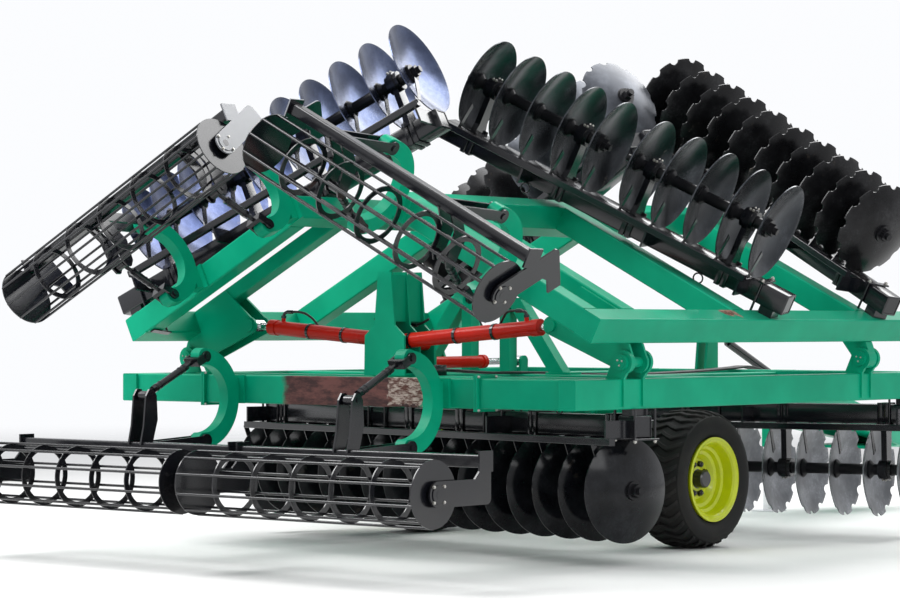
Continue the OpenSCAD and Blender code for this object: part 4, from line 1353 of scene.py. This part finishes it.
@dataclass
class FoldCylinders:
    """Ports, elbows, hoses and straps on the barrels of the fold cylinders.

    Attributes:
        base: the base pin of the right one, at a station.
        tilt: how far the cylinder slopes up towards its rod, in degrees.
        barrel: radius of the barrel.
        ports: places of the two ports along the barrel.
        radius: radius of the hoses.
    """

    base: Point = (-0.12, 0.0, 1.485)
    tilt: float = 4.517
    barrel: float = 0.052
    ports: tuple[float, float] = (0.12, 1.339)
    port_top: float = 0.076
    radius: float = 0.009

    def place(self, side: int) -> Matrix:
        """Gives the matrix from the cylinder's own frame, with X along it, to the machine.

        Args:
            side: 1 for the right cylinder, -1 for the left one.

        Returns:
            The matrix.
        """
        mirror = Matrix.Scale(-1, 4, (1, 0, 0)) if side < 0 else Matrix.Identity(4)
        base = Matrix.Translation((self.base[0], Harrow.cylinder_y[side], self.base[2]))
        return Harrow.machine() @ mirror @ base @ Matrix.Rotation(math.radians(-self.tilt), 4, "Y")

    def elbow(self, name: str, x: float, turn: float) -> bpy.types.Object:
        """Returns a hexagon nut on a port with an elbow that points along the barrel.

        Args:
            name: the piece's name.
            x: place of the port along the barrel.
            turn: 1 to point at the rod's end, -1 to point at the base.

        Returns:
            The elbow, in the cylinder's own frame.
        """
        top = self.port_top
        nut = Bench.cylinder(name, 0.019, (x, 0, top), (x, 0, top + 0.020), 6)
        path = [(x, 0, top + 0.012), (x, 0, top + 0.045), (x + turn * 0.045, 0, top + 0.050)]
        bend = Bench.tube(name + "_bend", path, 0.012)
        ends = (x + turn * 0.035, 0, top + 0.049), (x + turn * 0.085, 0, top + 0.052)
        ferrule = Bench.cylinder(name + "_ferrule", 0.014, *ends, 12)
        return Bench.join([nut, bend, ferrule], name)

    def strap(self, name: str, x: float) -> bpy.types.Object:
        """Makes a band round the barrel and the hose beside it.

        Args:
            name: the piece's name.
            x: place of the band along the barrel.

        Returns:
            The band with its saddle.
        """
        r, half = self.barrel + 0.002, 0.012
        outline = [(r, -half), (r + 0.003, -half), (r + 0.003, half), (r, half)]
        ring = Bench.spun(name, outline, stand((x, 0, 0), (1, 0, 0)))
        beyond = r + 2 * self.radius + 0.004
        saddle = Bench.block(name + "_saddle", (x - half, r, -0.014), (x + half, beyond, 0.014))
        return Bench.join([ring, saddle], name)

    def build(self) -> None:
        """Makes the fittings of both cylinders."""
        low, high = self.ports
        beside = self.barrel + self.radius + 0.004
        top = self.port_top + 0.052
        for side, word in SIDES.items():
            elbows = [self.elbow("elbow_base", low, -1), self.elbow("elbow_rod", high, -1)]
            elbows += [self.strap(f"band_{i}", x) for i, x in enumerate((0.30, 0.72, 1.06))]
            fittings = Bench.join(elbows, f"fold_fittings_{word}")
            hoses = [
                Bench.tube(
                    "hose_rod",
                    [(high - 0.07, 0, top), (high - 0.17, 0.01, top + 0.012),
                     (high - 0.24, 0.05, top - 0.03), (high - 0.30, beside, 0.035),
                     (1.00, beside, 0.0), (0.72, beside, 0.0), (0.30, beside, 0.0), (0.16, beside, 0.01),
                     (0.04, beside + 0.004, 0.03), (-0.05, beside + 0.008, 0.10)],
                    self.radius,
                ),
                Bench.tube(
                    "hose_base",
                    [(low - 0.07, 0, top), (low - 0.12, 0.004, top + 0.01), (low - 0.17, 0.02, top + 0.05)],
                    self.radius,
                ),
            ]
            hose = Bench.join(hoses, f"fold_hoses_{word}")
            for piece, finish in ((fittings, Finish.BLACK), (hose, Finish.HOSE)):
                piece.data.transform(self.place(side))
                if side < 0:
                    piece.data.flip_normals()
                dress(piece, finish.material)
                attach(piece, f"fold_barrel_{word}")
            LOG.info("fold cylinder %s", word)


@dataclass(frozen=True)
class Turnbuckle:
    """One threaded turnbuckle, from its pin on the roller's bracket to its pin on the arm.

    Attributes:
        x: its place across the machine.
        foot: station and height of the lower pin.
        top: station and height of the upper pin.
        body: the body that carries it.
    """

    x: float
    foot: tuple[float, float]
    top: tuple[float, float]
    side: int
    body: str

    def build(self, name: str) -> None:
        """Makes the lock nuts and the rings of the sleeve.

        Args:
            name: the piece's name.
        """
        frame = Harrow.machine() if self.body == "chassis" else Harrow.folded(self.side)
        start = Vector((self.side * self.x, *self.foot))
        line = Vector((self.side * self.x, *self.top)) - start
        way = line.normalized()
        sleeve = (0.110, line.length - 0.182)
        made = [
            Bench.cylinder(name + "_nut", 0.029, start + way * at, start + way * (at + 0.024), 6)
            for at in (sleeve[0] - 0.026, sleeve[1] + 0.002)
        ]
        rings = (sleeve[0] + 0.01, sleeve[0] + 0.05, sleeve[1] - 0.05, sleeve[1] - 0.01)
        made += [
            Bench.cylinder(name + "_ring", 0.028, start + way * at, start + way * (at + 0.008), 24)
            for at in rings
        ]
        piece = Bench.join(made, name)
        piece.data.transform(frame)
        Bench.smooth(piece, 30.0)
        dress(piece, Finish.BLACK.material)
        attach(piece, self.body)


@dataclass
class FrameTrim:
    """Flange plates, hinge caps, hose loops, a valve block and the hoses on the frame."""

    flange_x: float = 1.27
    loops: tuple[tuple[int, float], ...] = (
        (3, -0.95), (3, 0.55), (3, 1.55), (5, -0.9), (5, 0.7), (1, -1.4), (1, 1.4),
    )
    spools: tuple[float, ...] = (0.262, 0.294, 0.326, 0.358)

    def flanges(self) -> None:
        """Makes the bolted flange pairs of the rear cross beam."""
        pairs, bolts = [], []
        for side in SIDES:
            for step in (-0.009, 0.009):
                x = side * self.flange_x + step
                pairs.append(Bench.block("flange", (x - 0.0085, -0.004, 1.040), (x + 0.0085, 0.204, 1.282)))
            for y in (0.008, 0.192):
                for z in (1.050, 1.271):
                    spot = Vector((side * self.flange_x + 0.0175, y, z))
                    bolts.append(Harrow.machine() @ stand(spot, (1, 0, 0)))
        piece = Bench.join(pairs, "beam_flanges")
        piece.data.transform(Harrow.machine())
        Bench.bevel(piece, 0.003, 2)
        dress(piece, Finish.GREEN.material)
        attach(piece, "chassis")
        Fastener.many("flange_bolts", 0.016, bolts, "chassis", Finish.ZINC)

    def hinge_caps(self) -> None:
        """Puts three bolts on each end of the hinge pins."""
        spots = []
        for side in SIDES:
            hinges = (Harrow.cylinder_y[side], Harrow.lug_half), (Harrow.front_hinge_y, Harrow.front_half)
            for y, half in hinges:
                for way in (-1, 1):
                    for i in range(3):
                        turn = math.tau * i / 3 + 0.4
                        spot = Vector((0.021 * math.cos(turn), 0, 0.021 * math.sin(turn)))
                        spot += Vector((side * Harrow.frame_x, y + way * half, Harrow.hinge_z))
                        spots.append(Harrow.machine() @ stand(spot, (0, way, 0)))
        Fastener.many("hinge_cap_bolts", 0.011, spots, "chassis", Finish.ZINC)

    def hose_loops(self) -> None:
        """Hangs wire loops for hoses on the gang beams."""
        for number, (row_at, s) in enumerate(self.loops):
            row = ROWS[row_at]
            name = f"hose_loop_{number}"
            Bench.clear()
            bpy.ops.mesh.primitive_torus_add(
                major_radius=0.036,
                minor_radius=0.006,
                major_segments=28,
                minor_segments=8,
                rotation=(math.pi / 2, 0, 0),
            )
            ring = Bench.named(name)
            half = Harrow.beam / 2
            ring.data.transform(Matrix.Translation((s, -half - 0.008, Harrow.beam_z + half + 0.032)))
            ring.data.transform(row.matrix)
            Bench.smooth(ring, 60.0)
            dress(ring, Finish.BLACK.material)
            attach(ring, row.body)

    def hoses(self) -> None:
        """Lays two pairs of hoses from the drawbar's mast over the cross beams to a valve block."""
        base = Harrow.machine()
        block = Bench.block("valve_block", (0.235, 0.64, 1.262), (0.385, 0.76, 1.335))
        Bench.bevel(block, 0.005, 2)
        spools = [
            Bench.cylinder("spool", 0.016, (x, 0.625, 1.300), (x, 0.775, 1.300), 16) for x in self.spools
        ]
        valve = Bench.join([block, *spools], "valve_block")
        valve.data.transform(base)
        Bench.smooth(valve, 40.0)
        dress(valve, Finish.BLACK.material)
        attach(valve, "chassis")
        made = []
        for x in self.spools:
            points = [
                (x, 0.775, 1.300), (x, 0.90, 1.296), (x, 1.30, 1.270), (x, 1.70, 1.272),
                (x + 0.01, 2.40, 1.250), (x - 0.02, 3.10, 1.236), (x + 0.01, 3.80, 1.250),
                (x, 4.42, 1.272), (x, 4.62, 1.290), (x - 0.06, 5.10, 1.200), (x - 0.13, 5.70, 1.070),
                (x - 0.17, 6.30, 0.93),
            ]
            made.append(Bench.tube("line", [base @ Vector(p) for p in points], 0.0095))
        piece = Bench.join(made, "frame_hoses")
        dress(piece, Finish.HOSE.material)
        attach(piece, "chassis")

    def turnbuckles(self) -> None:
        """Makes the small parts of all turnbuckles."""
        for side, word in SIDES.items():
            at_centre = Turnbuckle(0.95, (-0.88, 1.13), (-0.3397, 1.3948), side, "chassis")
            at_centre.build(f"turnbuckle_trim_centre_{word}")
            for place, x in (("inner", 2.95), ("outer", 4.0)):
                at_wing = Turnbuckle(x, (-0.585, 1.045), (-0.2347, 1.3048), side, f"wing_{word}")
                at_wing.build(f"turnbuckle_trim_{place}_{word}")

    def build(self) -> None:
        """Makes all of it."""
        self.flanges()
        self.hinge_caps()
        self.hose_loops()
        self.hoses()
        self.turnbuckles()


# The frame's own nodes


FINISH_WORDS: tuple[tuple[str, Finish], ...] = (
    ("fold_barrel", Finish.RED),
    ("lift_barrel", Finish.RED),
    ("fold_rod", Finish.CHROME),
    ("lift_rod", Finish.CHROME),
    ("jack_leg", Finish.CHROME),
    ("gang_beams", Finish.BLACK),
    ("standards", Finish.BLACK),
    ("roller_arms", Finish.GREEN),
    ("wing_roller_frame_left", Finish.FRAME_LEFT_SHEEN),
    ("wing_roller_frame_right", Finish.FRAME_RIGHT_SHEEN),
    ("roller_frame", Finish.BLACK),
    ("turnbuckles", Finish.BLACK),
    ("roller_right", Finish.BLACK),
    ("roller_left", Finish.BLACK),
    ("hitch_eye", Finish.BLACK),
    ("tyre", Finish.TYRE),
)


def finish_of(name: str) -> Finish:
    """Returns the finish of one of the frame's nodes."""
    return next((finish for word, finish in FINISH_WORDS if word in name), Finish.GREEN)


@dataclass
class Studio:
    """Camera, lamps, floor and background.

    Attributes:
        eye: the camera's place.
        turn: how far the camera is turned from looking along +Y, to the left, in degrees.
        pitch: how far it looks up, in degrees.
        lens: focal length on a 36 mm sensor.
        sky: colour of the light from all round.
        ambient: strength of that light.
        lamps: place, size and power of each lamp.
    """

    eye: Point = (12.94, -17.26, 1.6)
    turn: float = 40.0
    pitch: float = 0.56
    lens: float = 111.2
    sky: Colour = (0.93, 0.96, 1.0)
    ambient: float = 0.42
    lamps: tuple[tuple[Point, float, float], ...] = field(
        default=(
            ((-5.0, -7.0, 10.0), 7.0, 1500.0),
            ((12.0, -5.0, 7.0), 6.0, 420.0),
            ((1.0, 6.0, 10.0), 8.0, 1100.0),
        )
    )

    def camera(self) -> None:
        """Makes the camera that stands where the photographer stood."""
        Bench.clear()
        rotation = (math.radians(90 + self.pitch), 0, math.radians(self.turn))
        bpy.ops.object.camera_add(location=self.eye, rotation=rotation)
        camera = bpy.context.view_layer.objects.active
        camera.name = "camera"
        camera.data.sensor_width = 36.0
        camera.data.lens = self.lens
        camera.data.clip_end = 400.0
        bpy.context.scene.camera = camera

    def light(self) -> None:
        """Makes the world and the soft lamps."""
        scene = bpy.context.scene
        scene.view_settings.view_transform = "Standard"
        world = bpy.data.worlds.new("studio")
        world.use_nodes = True
        scene.world = world
        tree = world.node_tree
        tree.nodes.clear()
        out = tree.nodes.new("ShaderNodeOutputWorld")
        seen = tree.nodes.new("ShaderNodeBackground")
        seen.inputs["Color"].default_value = (0.97, 0.98, 1.0, 1.0)
        seen.inputs["Strength"].default_value = 1.0
        soft = tree.nodes.new("ShaderNodeBackground")
        soft.inputs["Color"].default_value = (*self.sky, 1.0)
        soft.inputs["Strength"].default_value = self.ambient
        path = tree.nodes.new("ShaderNodeLightPath")
        mix = tree.nodes.new("ShaderNodeMixShader")
        share = path.outputs["Is Camera Ray"]
        for ray in ("Is Glossy Ray", "Is Transmission Ray"):
            either = tree.nodes.new("ShaderNodeMath")
            either.operation = "MAXIMUM"
            tree.links.new(share, either.inputs[0])
            tree.links.new(path.outputs[ray], either.inputs[1])
            share = either.outputs[0]
        tree.links.new(share, mix.inputs[0])
        tree.links.new(soft.outputs[0], mix.inputs[1])
        tree.links.new(seen.outputs[0], mix.inputs[2])
        tree.links.new(mix.outputs[0], out.inputs["Surface"])
        for i, (spot, size, power) in enumerate(self.lamps):
            Bench.clear()
            aim = (Vector((0, -0.5, 1.2)) - Vector(spot)).to_track_quat("-Z", "Y").to_euler()
            bpy.ops.object.light_add(type="AREA", location=spot, rotation=aim)
            lamp = bpy.context.view_layer.objects.active
            lamp.name = f"lamp_{i}"
            lamp.data.size = size
            lamp.data.energy = power

    def floor(self) -> None:
        """Makes the floor."""
        Bench.clear()
        bpy.ops.mesh.primitive_plane_add(size=260.0, location=(0, 0, -0.001))
        floor = bpy.context.view_layer.objects.active
        floor.name = "floor"
        dress(floor, Floor().make())

    def build(self) -> None:
        """Sets the studio."""
        self.light()
        self.floor()


def main() -> None:
    """Builds the scene in order."""
    logging.basicConfig(level=logging.INFO, format="%(name)s %(message)s")
    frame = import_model()
    studio = Studio()
    studio.camera()
    nodes = frame["nodes"]
    for name, node in nodes.items():
        dress(node, finish_of(name).material)
    for side, word in SIDES.items():
        dress(nodes[f"rim_{word}"], WheelPaint(f"rim_paint_{word}", side).make())
    Gangs(nodes).build()
    Wheels().build()
    RowGear().build()
    RollerGear().build()
    FoldCylinders().build()
    FrameTrim().build()
    studio.build()


if __name__ == "__main__":
    main()
